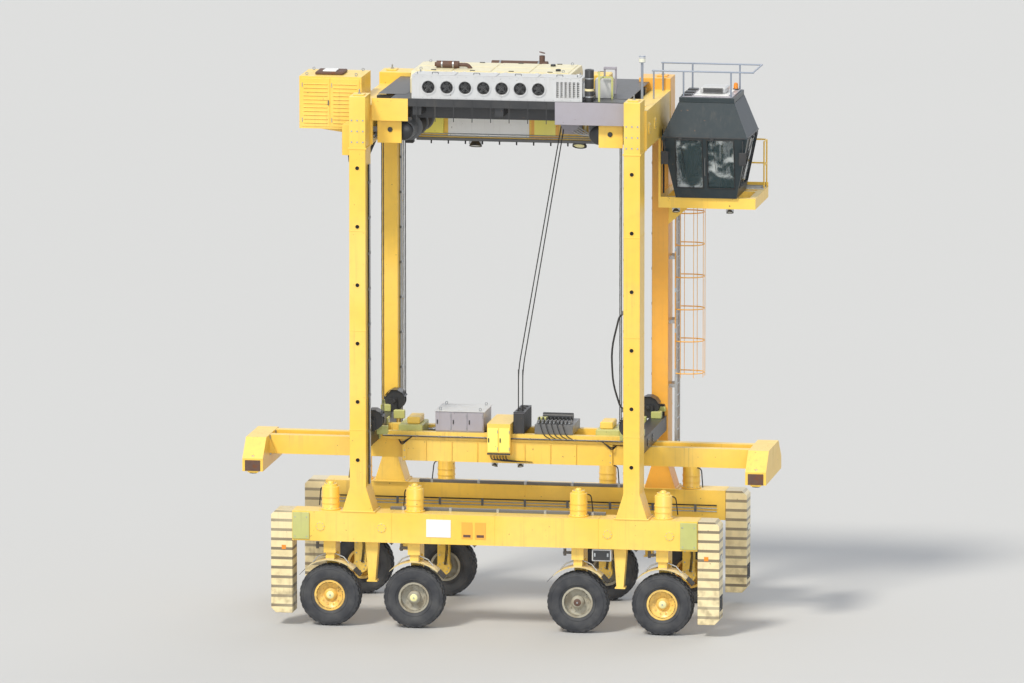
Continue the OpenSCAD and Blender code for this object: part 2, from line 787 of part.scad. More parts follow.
// The lifting frame: a beam between the columns at each end, with guide shoes and rope sheaves
lift_side_gap = 80;
shoe_l = 240;
shoe_drop = 60;
shoe_rise = 260;
cheek_lean = 60;
module lift_frame() {
  y1 = column_y0 - lift_side_gap;
  color(dark) for (end = [FRONT, REAR]) on_end(end) {
    block([column_x - lift_l / 2, -y1, lift_z], [column_x + lift_l / 2, y1, lift_z + lift_h]);
    for (side = [RIGHT, LEFT]) on_side(side) {
      block([column_x - shoe_l / 2, y1 - 1, lift_z - shoe_drop],
            [column_x + shoe_l / 2, column_y0 - slide_gap, lift_z + lift_h + shoe_rise]);
      sheave_pair(rope_x + rope_r, frame_sheave_z);
      for (y = cheek_ys)
        block([rope_x + rope_r - cheek_w / 2, y - cheek_t / 2, lift_z + lift_h - 1],
              [rope_x + rope_r + cheek_w / 2 + cheek_lean, y + cheek_t / 2, frame_sheave_z + cheek_w / 2]);
    }
  }
}

// The spreader's middle frame: four sleeves side by side, with two long beams that carry them
sleeve_t = 20;
tube_ys = [-510, -210, 210, 510];
tube_rise = 340;
tube_z0 = spreader_z + tube_rise;
tube_z1 = tube_z0 + tube_h;
sleeve_y = tube_ys[3] + tube_w / 2 + slide_gap + sleeve_t;
sleeve_z1 = tube_z1 + slide_gap + sleeve_t;
long_y = 520;
long_w = 180;
long_h = 185;
long_z1 = sleeve_z1 + long_h;
// The valve chest on the open side of the frame
chest_x = [-440, 100];
chest_out = 200;
chest_y = -sleeve_y - chest_out;
chest_z = [long_z1 - 461, long_z1 + 269];
module spreader_frame() {
  long_x = column_x - lift_l / 2 - seat_gap;
  color(yellow) {
    difference() {
      block([-sleeve_half_l, -sleeve_y, tube_z0 - seat_gap - sleeve_t], [sleeve_half_l, sleeve_y, sleeve_z1]);
      for (y = tube_ys)
        block([-sleeve_half_l - 1, y - tube_w / 2 - slide_gap, tube_z0 - seat_gap],
              [sleeve_half_l + 1, y + tube_w / 2 + slide_gap, tube_z1 + slide_gap]);
    }
    for (y = [-long_y, long_y])
      block([-long_x, y - long_w / 2, sleeve_z1 - 1], [long_x, y + long_w / 2, long_z1]);
    block([chest_x[0], chest_y, chest_z[0]], [chest_x[1], -sleeve_y + 1, chest_z[1]]);
    block([chest_x[0], chest_y, long_z1 - 1], [chest_x[1], long_y, chest_z[1]]);
  }
}

// Boxes on the long beams: the switch cabinet, the cable basket and the valve blocks
switch_x = [-1700, -570];
switch_h = 470;
basket_x = [130, 360];
basket_h = 480;
valve_x = [620, 1500];
valve_h = 220;
module lift_boxes() {
  z = long_z1 + seat_gap;
  color(light_grey) block([switch_x[0], -long_y, z], [switch_x[1], long_y, z + switch_h]);
  color(dark) block([basket_x[0], -long_y, z], [basket_x[1], long_y, z + basket_h]);
  color(grey) block([valve_x[0], -long_y, z], [valve_x[1], long_y, z + valve_h]);
}

// A telescopic arm of the spreader: two tubes, the end beam and its corner locks
end_l = 480;
end_y = 1220;
lock_drop = 60;
end_h = 300;
end_z0 = spreader_z + lock_drop;
end_z1 = end_z0 + end_h;
end_hump_y = 760;
pass_gap = 10; // over an end beam that has run in under the lifting frame
end_top_z = min(lift_z, sleeve_z1) - pass_gap;
lock_w = 240;
lock_d = 90;
module spreader_arm(end) {
  x1 = lock_x + end_l / 2;
  x0 = lock_x - end_l / 2;
  color(yellow) rotate([0, 0, end == FRONT ? 0 : 180]) {
    for (y = [tube_ys[0], tube_ys[2]])
      block([x0 + 1 - tube_l, y - tube_w / 2, tube_z0], [x0 + 1, y + tube_w / 2, tube_z1]);
    along([[-end_y, end_z0], [end_y, end_z0], [end_y, end_z1], [end_hump_y, end_top_z],
           [-end_hump_y, end_top_z], [-end_y, end_z1]], x0, x1);
    for (s = [-1, 1]) {
      block([lock_x - lock_w / 2, s * lock_y - lock_w / 3, end_z0 - lock_w / 8],
            [lock_x + lock_w / 2, s * lock_y + lock_w / 3, end_z0 + 1]);
      translate([lock_x, s * lock_y, spreader_z]) cylinder(d = lock_d, h = end_z0 - spreader_z);
    }
  }
}

// Steering knuckle: pin, head, inner leg, fixed axle and mudguard, drawn on the cab side
head_h = 300;
head_plate_z = beam_z - head_h;
leg_l = 280;
leg_gap = 40;
leg_foot = 60;
throat = 90;
head_out = 170;
axle_reach = 60;
axle_boss = 60;
guard_t = 12;
guard_lap = 10;
guard_half_l = 560;
guard_rise = 500;
stay_l = 200;
stay_w = 240;
module knuckle(i, side) {
  leg_y1 = wheel_y - tyre_w / 2 - leg_gap;
  leg_y0 = leg_y1 - leg_w;
  guard_r = tyre_d / 2 + guard_gap;
  color(yellow) on_side(side) translate([axle_xs[i], 0, 0]) {
    translate([0, wheel_y, head_plate_z]) cylinder(d = king_d, h = beam_top_z + pin_in_pot - head_plate_z);
    along([[leg_y0, axle_z - leg_foot], [leg_y1, axle_z - leg_foot], [leg_y1, head_plate_z - leg_foot],
           [leg_y1 + throat, head_plate_z], [wheel_y + head_out, head_plate_z],
           [wheel_y + head_out, beam_z - thrust_gap], [leg_y0, beam_z - thrust_gap]], -leg_l / 2, leg_l / 2);
    translate([0, 0, axle_z]) {
      bar_y(leg_l + axle_boss, leg_y0, leg_y1);
      bar_y(axle_d, leg_y1 - 1, wheel_y + axle_reach);
    }
    // mudguard over the tyre
    intersection() {
      translate([0, 0, axle_z]) difference() {
        bar_y(2 * (guard_r + guard_t), wheel_y - tyre_w / 2 - guard_lap, wheel_y + tyre_w / 2 + guard_lap);
        bar_y(2 * guard_r, wheel_y - tyre_w, wheel_y + tyre_w);
      }
      block([-guard_half_l, wheel_y - tyre_w, axle_z + guard_rise], [guard_half_l, wheel_y + tyre_w, beam_z]);
    }
    block([-stay_l / 2, wheel_y - stay_w / 2, axle_z + guard_r - guard_t / 3],
          [stay_l / 2, wheel_y + stay_w / 2, head_plate_z + 1]);
  }
}

// Wheel: rim, dished disc and hub in one revolved section of radius and distance outwards, with its nuts
flange_r = rim_d / 2 + 37;
flange_t = 175;
lip_t = 15;
barrel_t = 18;
hub_r = 150;
hub_in = 200;
hub_chamfer = 50;
cap_out = 110;
driven_cap = 70;
disc_t = 25;
dishes = [70, 10];
nut_n = 10;
nut_r = 215;
nut_d = 34;
nut_h = 26;
module wheel(i, side) {
  driven = i == 1 || i == 2;
  dish = dishes[driven ? 1 : 0];
  cap = cap_out + (driven ? driven_cap : 0);
  seat_r = rim_d / 2;
  in_r = seat_r - barrel_t;
  bore_r = axle_d / 2 + turn_gap;
  color(driven ? grey : yellow) on_side(side)
    translate([axle_xs[i], wheel_y, axle_z]) rotate([-90, 0, 0]) {
      rotate_extrude($fn = 64) polygon([
        [0, axle_reach + slide_gap], [0, cap], [hub_r - hub_chamfer, cap], [hub_r, cap - hub_chamfer],
        [hub_r, disc_t], [in_r, disc_t + dish], [in_r, flange_t], [flange_r, flange_t],
        [flange_r, flange_t - lip_t], [seat_r, flange_t - lip_t], [seat_r, lip_t - flange_t],
        [flange_r, lip_t - flange_t], [flange_r, -flange_t], [in_r, -flange_t], [in_r, dish], [hub_r, 0],
        [hub_r, -hub_in], [bore_r, -hub_in], [bore_r, axle_reach + slide_gap]
      ]);
      for (k = [0 : nut_n - 1]) rotate([0, 0, k * 360 / nut_n])
        translate([nut_r, 0, disc_t / 2]) cylinder(d = nut_d, h = disc_t / 2 + dish / 2 + nut_h, $fn = 24);
    }
}

// Tyre: one revolved section with two grooves, seated between the rim's flanges
groove_y = [55, 95];
groove_h = 26;
groove_slope = 7;
module tyre(i, side) {
  r = tyre_d / 2;
  w = tyre_w / 2;
  bead_t = flange_t - lip_t - seat_gap;
  seat_r = rim_d / 2 + seat_gap;
  half = [
    [seat_r, bead_t], [flange_r + 10, bead_t], [flange_r + 30, bead_t + 20], [r - 270, w - 6],
    [r - 190, w], [r - 100, w - 8], [r - 30, w - 38], [r, w - 70],
    [r, groove_y[1]], [r - groove_h, groove_y[1] - groove_slope],
    [r - groove_h, groove_y[0] + groove_slope], [r, groove_y[0]]
  ];
  color(rubber) on_side(side)
    translate([axle_xs[i], wheel_y, axle_z]) rotate([-90, 0, 0]) rotate_extrude($fn = 64)
      polygon(concat(half, [for (k = [len(half) - 1 : -1 : 0]) [half[k][0], -half[k][1]]]));
}

side_beam(RIGHT);  // side_beam_right
side_beam(LEFT);  // side_beam_left
bumpers();
suspension_pots();
column(FRONT, RIGHT);  // column_front_right
column(FRONT, LEFT);  // column_front_left
column(REAR, RIGHT);  // column_rear_right
column(REAR, LEFT);  // column_rear_left
crossbeam(FRONT);  // crossbeam_front
crossbeam(REAR);  // crossbeam_rear
top_girder();
deck();
port_housing();
engine_hood();
engine();
exhaust();
air_cleaner();
hoist_gear();
rear_cabinet();
cab_body();
cab_roof();
cab_windows();
cab_door();
cab_seat();
cab_console();
cab_platform();
handrails();
ladder();
hoist_ropes();
lift_frame();
lift_boxes();
spreader_frame();
spreader_arm(FRONT);  // spreader_arm_front
spreader_arm(REAR);  // spreader_arm_rear
knuckle(0, RIGHT);  // knuckle_r1
knuckle(1, RIGHT);  // knuckle_r2
knuckle(2, RIGHT);  // knuckle_r3
knuckle(3, RIGHT);  // knuckle_r4
knuckle(0, LEFT);  // knuckle_l1
knuckle(1, LEFT);  // knuckle_l2
knuckle(2, LEFT);  // knuckle_l3
knuckle(3, LEFT);  // knuckle_l4
wheel(0, RIGHT);  // wheel_r1
wheel(1, RIGHT);  // wheel_r2
wheel(2, RIGHT);  // wheel_r3
wheel(3, RIGHT);  // wheel_r4
wheel(0, LEFT);  // wheel_l1
wheel(1, LEFT);  // wheel_l2
wheel(2, LEFT);  // wheel_l3
wheel(3, LEFT);  // wheel_l4
tyre(0, RIGHT);  // tyre_r1
tyre(1, RIGHT);  // tyre_r2
tyre(2, RIGHT);  // tyre_r3
tyre(3, RIGHT);  // tyre_r4
tyre(0, LEFT);  // tyre_l1
tyre(1, LEFT);  // tyre_l2
tyre(2, LEFT);  // tyre_l3
tyre(3, LEFT);  // tyre_l4
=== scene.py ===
"""Looks of a straddle carrier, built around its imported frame, in metres."""

import json
import logging
import math
from dataclasses import dataclass, field
from enum import Enum
from functools import cache
from itertools import product
from typing import Callable, Iterable, Sequence

import bmesh
import bpy
from mathutils import Matrix, Vector

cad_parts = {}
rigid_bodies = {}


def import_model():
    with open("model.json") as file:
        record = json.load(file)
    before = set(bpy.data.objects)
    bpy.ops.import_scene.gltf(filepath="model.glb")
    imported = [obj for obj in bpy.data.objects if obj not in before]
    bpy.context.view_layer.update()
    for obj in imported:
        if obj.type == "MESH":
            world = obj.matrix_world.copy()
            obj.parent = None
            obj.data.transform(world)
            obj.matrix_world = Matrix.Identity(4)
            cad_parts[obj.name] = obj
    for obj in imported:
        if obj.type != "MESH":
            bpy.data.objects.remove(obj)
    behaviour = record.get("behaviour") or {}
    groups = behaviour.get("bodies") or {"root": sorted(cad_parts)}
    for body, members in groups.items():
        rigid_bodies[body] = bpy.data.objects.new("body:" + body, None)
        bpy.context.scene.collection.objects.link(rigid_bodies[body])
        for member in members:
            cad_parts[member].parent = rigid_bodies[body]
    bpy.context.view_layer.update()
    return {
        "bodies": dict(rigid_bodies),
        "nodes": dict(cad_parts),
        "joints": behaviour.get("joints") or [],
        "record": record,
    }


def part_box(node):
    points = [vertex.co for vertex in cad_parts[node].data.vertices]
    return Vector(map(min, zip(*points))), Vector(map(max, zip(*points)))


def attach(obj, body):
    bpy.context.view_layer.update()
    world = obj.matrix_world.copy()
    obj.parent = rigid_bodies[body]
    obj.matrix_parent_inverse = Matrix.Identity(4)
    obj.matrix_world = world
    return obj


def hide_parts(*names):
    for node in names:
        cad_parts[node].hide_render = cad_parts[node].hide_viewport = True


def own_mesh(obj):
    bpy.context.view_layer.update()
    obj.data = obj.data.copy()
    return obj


Colour = tuple[float, float, float]
Place = Sequence[float]
Material = bpy.types.Material
Socket = bpy.types.NodeSocket

LOG = logging.getLogger("straddle_carrier")
SHARP_ANGLE = math.radians(32)
WHEELS = tuple(side + number for side in "rl" for number in "1234")
WHEEL_Y = 2.12
SEAT = (4.45, 0.9, 9.81)
ALONG = Vector((1, 0, 0))
ASIDE = Vector((0, 1, 0))
UP = Vector((0, 0, 1))
HERE = Matrix.Identity(4)


class Side(Enum):
    """A side of the machine; the value is the sign of Y."""

    RIGHT = -1
    LEFT = 1


class End(Enum):
    """An end of the machine; the value is the sign of X."""

    FRONT = 1
    REAR = -1


BOTH_SIDES = [Matrix.Diagonal((1, side.value, 1, 1)) for side in Side]
BOTH_ENDS = [Matrix.Diagonal((end.value, 1, 1, 1)) for end in End]
FOUR_CORNERS = [end @ side for end in BOTH_ENDS for side in BOTH_SIDES]


class Graph:
    """A material's node tree, with short calls for the nodes that the finishes use."""

    def __init__(self, name: str) -> None:
        """Starts a material.

        Args:
            name: The material's name.
        """
        self.material = bpy.data.materials.new(name)
        self.material.use_nodes = True
        self.tree = self.material.node_tree
        self.shader = self.tree.nodes["Principled BSDF"]
        self.place = self.tree.nodes.new("ShaderNodeTexCoord").outputs["Object"]

    def node(self, kind: str, inputs: dict | None = None, **settings: object) -> bpy.types.Node:
        """Adds a node.

        Args:
            kind: The node's type name after ShaderNode.
            inputs: Values or sockets by input name or number.
            settings: Properties of the node itself.

        Returns:
            The new node.
        """
        made = self.tree.nodes.new("ShaderNode" + kind)
        for key, value in settings.items():
            setattr(made, key, value)
        for key, value in (inputs or {}).items():
            self.feed(made.inputs[key], value)
        return made

    def feed(self, target: Socket, value: object) -> None:
        """Links or sets one input.

        Args:
            target: The input.
            value: A socket to link, or a plain value.
        """
        if isinstance(value, Socket):
            self.tree.links.new(value, target)
        elif isinstance(value, tuple) and target.type == "RGBA":
            target.default_value = (*value, 1)
        else:
            target.default_value = value

    def noise(self, scale: float, detail: float = 4, stretch: tuple | None = None) -> Socket:
        """A noise value.

        Args:
            scale: Cells in a metre.
            detail: Octaves.
            stretch: Factors on the coordinates, or None for even cells.

        Returns:
            The value's socket.
        """
        place = self.place
        if stretch:
            place = self.node("Mapping", {"Vector": place, "Scale": stretch}).outputs["Vector"]
        return self.node("TexNoise", {"Vector": place, "Scale": scale, "Detail": detail}).outputs["Fac"]

    def span(self, value: Socket, low: float, high: float, to: tuple[float, float] = (0, 1)) -> Socket:
        """Maps low..high to the span given, clamped and smooth."""
        inputs = {"Value": value, "From Min": low, "From Max": high, "To Min": to[0], "To Max": to[1]}
        return self.node("MapRange", inputs, interpolation_type="SMOOTHSTEP").outputs["Result"]

    def math(self, operation: str, *values: object) -> Socket:
        """One step of arithmetic on the values given."""
        return self.node("Math", dict(enumerate(values)), operation=operation).outputs["Value"]

    def mix(self, share: object, first: object, second: object) -> Socket:
        """Mixes two colours.

        Args:
            share: How much of the second, from 0 to 1.
            first: A colour or socket.
            second: A colour or socket.

        Returns:
            The mixed colour's socket.
        """
        made = self.node("Mix", data_type="RGBA")
        self.feed(made.inputs["Factor"], share)
        self.feed(made.inputs[6], first)
        self.feed(made.inputs[7], second)
        return made.outputs[2]

    def axis(self, letter: str) -> Socket:
        """One object coordinate."""
        return self.node("SeparateXYZ", {0: self.place}).outputs[letter]

    def facing_up(self) -> Socket:
        """1 where a surface faces up, 0 where it is upright or faces down."""
        normal = self.tree.nodes.new("ShaderNodeNewGeometry").outputs["Normal"]
        return self.span(self.node("SeparateXYZ", {0: normal}).outputs["Z"], 0.3, 0.95)

    def bump(self, height: Socket, strength: float, distance: float) -> None:
        """Puts a bump on the shader, after any that is there already.

        Args:
            height: The height's socket.
            strength: Share of the effect.
            distance: Metres that a height of 1 stands for.
        """
        inputs = {"Height": height, "Strength": strength, "Distance": distance}
        there = self.shader.inputs["Normal"].links
        if there:
            inputs["Normal"] = there[0].from_socket
        self.feed(self.shader.inputs["Normal"], self.node("Bump", inputs).outputs["Normal"])

    def dress(self, **values: object) -> Material:
        """Sets the shader's inputs.

        Args:
            values: Values or sockets by the input's name, with _ for a blank.

        Returns:
            The finished material.
        """
        for key, value in values.items():
            self.feed(self.shader.inputs[key.replace("_", " ").title()], value)
        return self.material


@dataclass(frozen=True)
class PaintFinish:
    """Sprayed paint on plate steel, faded on top, streaked by rain and dusty near the ground."""

    name: str
    colour: Colour
    faded: Colour
    grime: Colour = (0.2, 0.15, 0.09)
    dirt: float = 0.3
    gloss: float = 0.36
    chip: Colour = (0.12, 0.07, 0.04)

    def build(self) -> Material:
        """Makes the material."""
        return self.finish(Graph(self.name), self.colour)

    def finish(self, graph: Graph, fresh: object) -> Material:
        """Dresses a colour with fade, streaks, dust and a sprayed surface.

        Args:
            graph: The material's graph.
            fresh: The clean colour, plain or a socket.

        Returns:
            The finished material.
        """
        broad = graph.math("MULTIPLY", graph.span(graph.noise(0.45, 2), 0.35, 0.7), 0.45)
        painted = graph.mix(graph.math("MAXIMUM", graph.math("MULTIPLY", graph.facing_up(), 0.75), broad),
                            fresh, self.faded)
        thin = graph.span(graph.noise(1, 6, (14, 14, 0.45)), 0.5, 0.78)
        patch = graph.span(graph.noise(0.9, 3), 0.4, 0.7)
        streaks = graph.math("MULTIPLY", graph.math("MULTIPLY", thin, patch), self.dirt)
        near_ground = graph.span(graph.axis("Z"), 2.3, 0.3)
        low = graph.math("MULTIPLY_ADD", near_ground, self.dirt * 1.2, self.dirt * 0.25)
        dust = graph.math("MULTIPLY", graph.span(graph.noise(5, 8), 0.38, 0.75), low)
        grime = graph.math("MINIMUM", graph.math("ADD", streaks, dust), 0.8)
        chips = graph.math("MULTIPLY", graph.span(graph.noise(13, 8), 0.7, 0.73), 0.75)
        soiled = graph.mix(chips, graph.mix(grime, painted, self.grime), self.chip)
        graph.bump(graph.noise(90, 2), 0.05, 0.002)
        graph.bump(graph.noise(1.1, 2), 0.15, 0.01)
        return graph.dress(base_color=soiled, roughness=graph.span(grime, 0, 0.5, (self.gloss, 0.75)),
                           coat_weight=0.12, coat_roughness=0.2)


@dataclass(frozen=True)
class StripedPaintFinish(PaintFinish):
    """Paint in two colours, in level stripes or in chevrons that rise to the middle."""

    second: Colour = (0.17, 0.135, 0.085)
    pitch: float = 0.22
    share: float = 0.3
    slope: float = 0

    def build(self) -> Material:
        """Makes the material.

        Returns:
            The finished material.
        """
        graph = Graph(self.name)
        aside = graph.math("ABSOLUTE", graph.axis("Y"))
        height = graph.math("MULTIPLY_ADD", aside, self.slope, graph.axis("Z"))
        wave = graph.math("FRACT", graph.math("DIVIDE", height, self.pitch))
        band = graph.math("LESS_THAN", wave, self.share)
        return self.finish(graph, graph.mix(band, self.colour, self.second))


@dataclass(frozen=True)
class KnucklePaintFinish(PaintFinish):
    """Paint of a steering knuckle, whose mudguard has a colour of its own."""

    guard: Colour = (0.42, 0.42, 0.33)
    middle_x: float = 2.88
    half_pitch: float = 0.98
    axle_z: float = 0.71
    radii: tuple[float, float] = (0.81, 0.85)
    inner_y: float = 1.88

    def build(self) -> Material:
        """Makes the material.

        Returns:
            The finished material.
        """
        graph = Graph(self.name)
        from_end = graph.math("SUBTRACT", graph.math("ABSOLUTE", graph.axis("X")), self.middle_x)
        along = graph.math("SUBTRACT", graph.math("ABSOLUTE", from_end), self.half_pitch)
        rise = graph.math("SUBTRACT", graph.axis("Z"), self.axle_z)
        squares = [graph.math("MULTIPLY", part, part) for part in (along, rise)]
        radius = graph.math("SQRT", graph.math("ADD", *squares))
        ring = graph.math("MULTIPLY", graph.math("GREATER_THAN", radius, self.radii[0]),
                          graph.math("LESS_THAN", radius, self.radii[1]))
        outside = graph.math("GREATER_THAN", graph.math("ABSOLUTE", graph.axis("Y")), self.inner_y)
        return self.finish(graph, graph.mix(graph.math("MULTIPLY", ring, outside), self.colour, self.guard))


@dataclass(frozen=True)
class TreadPlateFinish(PaintFinish):
    """Paint on plate with rows of raised bars, for walking on."""

    pitch: float = 0.045

    def build(self) -> Material:
        """Makes the material.

        Returns:
            The finished material.
        """
        graph = Graph(self.name)
        bars = []
        for turn, shift in ((45, 0), (-45, 0.5)):
            inputs = {"Vector": graph.place, "Rotation": (0, 0, math.radians(turn)),
                      "Location": (shift * self.pitch, 0, 0)}
            cells = graph.node("SeparateXYZ", {0: graph.node("Mapping", inputs).outputs["Vector"]})
            along = graph.math("PINGPONG", cells.outputs["X"], self.pitch)
            aside = graph.math("PINGPONG", cells.outputs["Y"], 0.4 * self.pitch)
            bars.append(graph.math("MULTIPLY", graph.span(along, 0.7 * self.pitch, 0.4 * self.pitch),
                                   graph.span(aside, 0.16 * self.pitch, 0.08 * self.pitch)))
        graph.bump(graph.math("MAXIMUM", *bars), 0.6, 0.003)
        return self.finish(graph, self.colour)


@dataclass(frozen=True)
class RubberFinish:
    """Tyre or hose rubber with patches of dust."""

    name: str
    colour: Colour = (0.022, 0.024, 0.03)
    dust: Colour = (0.15, 0.15, 0.145)
    dusty: float = 0.45

    def build(self) -> Material:
        """Makes the material.

        Returns:
            The finished material.
        """
        graph = Graph(self.name)
        share = graph.span(graph.noise(3, 7), 0.35, 0.75, (0.1 * self.dusty, self.dusty))
        graph.bump(graph.noise(140, 3), 0.12, 0.002)
        return graph.dress(base_color=graph.mix(share, self.colour, self.dust),
                           roughness=graph.span(share, 0, 0.5, (0.62, 0.9)))


@dataclass(frozen=True)
class MetalFinish:
    """Bare or galvanized steel with blotches and rust."""

    name: str
    colour: Colour
    rust: float = 0.1
    gloss: float = 0.42
    metallic: float = 0.8
    brown: Colour = (0.16, 0.062, 0.028)

    def build(self) -> Material:
        """Makes the material.

        Returns:
            The finished material.
        """
        graph = Graph(self.name)
        blotch = graph.span(graph.noise(14, 5), 0.3, 0.7, (0, 0.35))
        clean = graph.mix(blotch, self.colour, tuple(0.62 * c for c in self.colour))
        rusty = graph.span(graph.noise(5, 8), 0.72 - 0.5 * self.rust, 0.86 - 0.4 * self.rust)
        graph.bump(graph.noise(60, 4), 0.1, 0.002)
        return graph.dress(base_color=graph.mix(rusty, clean, self.brown),
                           metallic=graph.span(rusty, 0, 1, (self.metallic, 0.05)),
                           roughness=graph.span(rusty, 0, 1, (self.gloss, 0.88)))


@dataclass(frozen=True)
class GlassFinish:
    """Tinted cab glass with a film of dust."""

    name: str
    tint: Colour
    film: Colour = (0.62, 0.66, 0.66)
    alpha: float = 0.4

    def build(self) -> Material:
        """Makes the material.

        Returns:
            The finished material.
        """
        graph = Graph(self.name)
        dusty = graph.span(graph.noise(2.6), 0.5, 0.66)
        graph.material.blend_method = "BLEND"
        return graph.dress(base_color=graph.mix(graph.math("MULTIPLY", dusty, 0.75), self.tint, self.film),
                           roughness=graph.span(dusty, 0, 1, (0.03, 0.3)),
                           alpha=graph.span(dusty, 0, 1, (self.alpha, 0.8)),
                           coat_weight=0.5, coat_roughness=0.04)


@dataclass(frozen=True)
class PlasticFinish:
    """Moulded plastic, leathercloth or lamp lenses."""

    name: str
    colour: Colour
    gloss: float = 0.5
    grain: float = 220

    def build(self) -> Material:
        """Makes the material.

        Returns:
            The finished material.
        """
        graph = Graph(self.name)
        share = graph.span(graph.noise(6, 5), 0.4, 0.8, (0, 0.3))
        faded = tuple(0.75 * c + 0.06 for c in self.colour)
        graph.bump(graph.noise(self.grain, 2), 0.15, 0.0015)
        return graph.dress(base_color=graph.mix(share, self.colour, faded),
                           roughness=graph.span(share, 0, 0.3, (self.gloss, min(1, self.gloss + 0.15))))


@dataclass(frozen=True)
class ClothFinish:
    """Woven seat cloth."""

    name: str
    colour: Colour
    threads: float = 95

    def build(self) -> Material:
        """Makes the material.

        Returns:
            The finished material.
        """
        graph = Graph(self.name)
        threads = [graph.node("TexWave", {"Vector": graph.place, "Scale": self.threads, "Distortion": 0.4},
                              bands_direction=way).outputs["Fac"] for way in "XZ"]
        weave = graph.math("MULTIPLY", *threads)
        pale = tuple(min(1, 1.8 * c + 0.02) for c in self.colour)
        worn = graph.span(graph.noise(7), 0.45, 0.75, (0, 0.35))
        graph.bump(weave, 0.35, 0.001)
        return graph.dress(base_color=graph.mix(worn, graph.mix(weave, self.colour, pale), pale),
                           roughness=0.88, sheen_weight=0.3)


YELLOW = (0.87, 0.55, 0.07)
YELLOW_FADED = (0.9, 0.67, 0.2)
DUSTY = {"grime": (0.13, 0.115, 0.095), "dirt": 0.3, "gloss": 0.42}
FINISHES = {
    "yellow": PaintFinish("yellow_paint", YELLOW, YELLOW_FADED),
    # Orange-yellow: real orange marks, and also a darker, warmer copy of the yellow that paints the shade of
    # the front left column.
    "orange": PaintFinish("orange_yellow_paint", (0.83, 0.4, 0.05), (0.88, 0.52, 0.13)),
    "bright": PaintFinish("bright_yellow_paint", (0.88, 0.78, 0.13), (0.9, 0.83, 0.3), dirt=0.15),
    "pale": PaintFinish("pale_yellow_paint", (0.78, 0.66, 0.33), (0.76, 0.71, 0.5), dirt=0.35),
    "white": PaintFinish("white_paint", (0.8, 0.8, 0.78), (0.8, 0.79, 0.76), dirt=0.15),
    "light_grey": PaintFinish("light_grey_paint", (0.5, 0.51, 0.52), (0.6, 0.6, 0.58)),
    "green_grey": PaintFinish("green_grey_paint", (0.46, 0.47, 0.15), (0.58, 0.57, 0.24), dirt=0.35),
    "lilac_grey": PaintFinish("lilac_grey_paint", (0.3, 0.28, 0.32), (0.42, 0.4, 0.42)),
    "grey": PaintFinish("machine_grey_paint", (0.11, 0.115, 0.12), (0.2, 0.2, 0.2), dirt=0.35),
    "hub_cap": PaintFinish("hub_cap_paint", (0.8, 0.76, 0.34), (0.86, 0.83, 0.5), dirt=0.15),
    "wheel_grey": PaintFinish("grey_wheel_paint", (0.34, 0.32, 0.25), (0.43, 0.4, 0.31), dirt=0.45),
    "wheel_yellow": PaintFinish("yellow_wheel_paint", (0.8, 0.48, 0.09), YELLOW_FADED, dirt=0.4),
    "knuckle": KnucklePaintFinish("knuckle_paint", YELLOW, YELLOW_FADED, dirt=0.4),
    "black": PaintFinish("black_paint", (0.018, 0.019, 0.021), (0.05, 0.052, 0.055), **DUSTY),
    "cab": PaintFinish("dark_cab_paint", (0.007, 0.018, 0.024), (0.016, 0.03, 0.036), **DUSTY),
    "tread_plate": TreadPlateFinish("tread_plate_paint", (0.045, 0.047, 0.05), (0.1, 0.1, 0.1), **DUSTY),
    "blue_grey": PaintFinish("blue_grey_paint", (0.24, 0.28, 0.35), (0.36, 0.39, 0.44), dirt=0.2),
    "stripes": StripedPaintFinish("striped_paint", (0.8, 0.66, 0.36), (0.84, 0.74, 0.48), dirt=0.45),
    "chevrons": StripedPaintFinish("chevron_paint", YELLOW, YELLOW_FADED, dirt=0.35, pitch=0.42, share=0.5,
                                   slope=0.8, second=(0.05, 0.045, 0.04)),
    "rubber": RubberFinish("tyre_rubber"),
    "hose": RubberFinish("hose_rubber", (0.012, 0.012, 0.013), dusty=0.12),
    "galvanized": MetalFinish("galvanized_steel", (0.46, 0.48, 0.49), rust=0.05),
    "rust": MetalFinish("rust_brown_steel", (0.13, 0.075, 0.055), rust=0.4, gloss=0.7, metallic=0.2),
    "rope": MetalFinish("rope_steel", (0.1, 0.1, 0.1), gloss=0.5),
    "glass": GlassFinish("tinted_glass", (0.03, 0.06, 0.066)),
    "plastic": PlasticFinish("console_plastic", (0.05, 0.052, 0.055)),
    # Near-black sheets: painted shade, laid where holes, slits, ports and grilles would be dark inside.
    "painted_hole_shade": PlasticFinish("dark_recess", (0.006, 0.006, 0.008), gloss=0.9),
    "lens": PlasticFinish("lamp_lens", (0.72, 0.72, 0.6), gloss=0.12, grain=60),
    "red_lens": PlasticFinish("red_lens", (0.5, 0.02, 0.015), gloss=0.15, grain=60),
    "amber_lens": PlasticFinish("amber_lens", (0.75, 0.25, 0.02), gloss=0.15, grain=60),
    "screen": PlasticFinish("screen", (0.02, 0.035, 0.05), gloss=0.1),
    "cloth": ClothFinish("seat_fabric", (0.05, 0.036, 0.04)),
}


@cache
def material(name: str) -> Material:
    """The material of a finish, made once and found by the finish's short name."""
    return FINISHES[name].build()


class Way(Enum):
    """Where the face of a part looks; the value turns a part drawn for +Y, in degrees about Z."""

    LEFT = 0
    RIGHT = 180
    FRONT = -90
    REAR = 90


def turned(degrees: float, axis: str) -> Matrix:
    """A turn about X, Y or Z."""
    return Matrix.Rotation(math.radians(degrees), 4, axis)


def facing(at: Place, way: Way = Way.LEFT) -> Matrix:
    """The place of a part that is drawn round the origin with its face to +Y."""
    return Matrix.Translation(at) @ turned(way.value, "Z")


def upright(axis: Place) -> Matrix:
    """The turn that takes Z to the axis."""
    return Vector(axis).normalized().to_track_quat("Z", "Y").to_matrix().to_4x4()


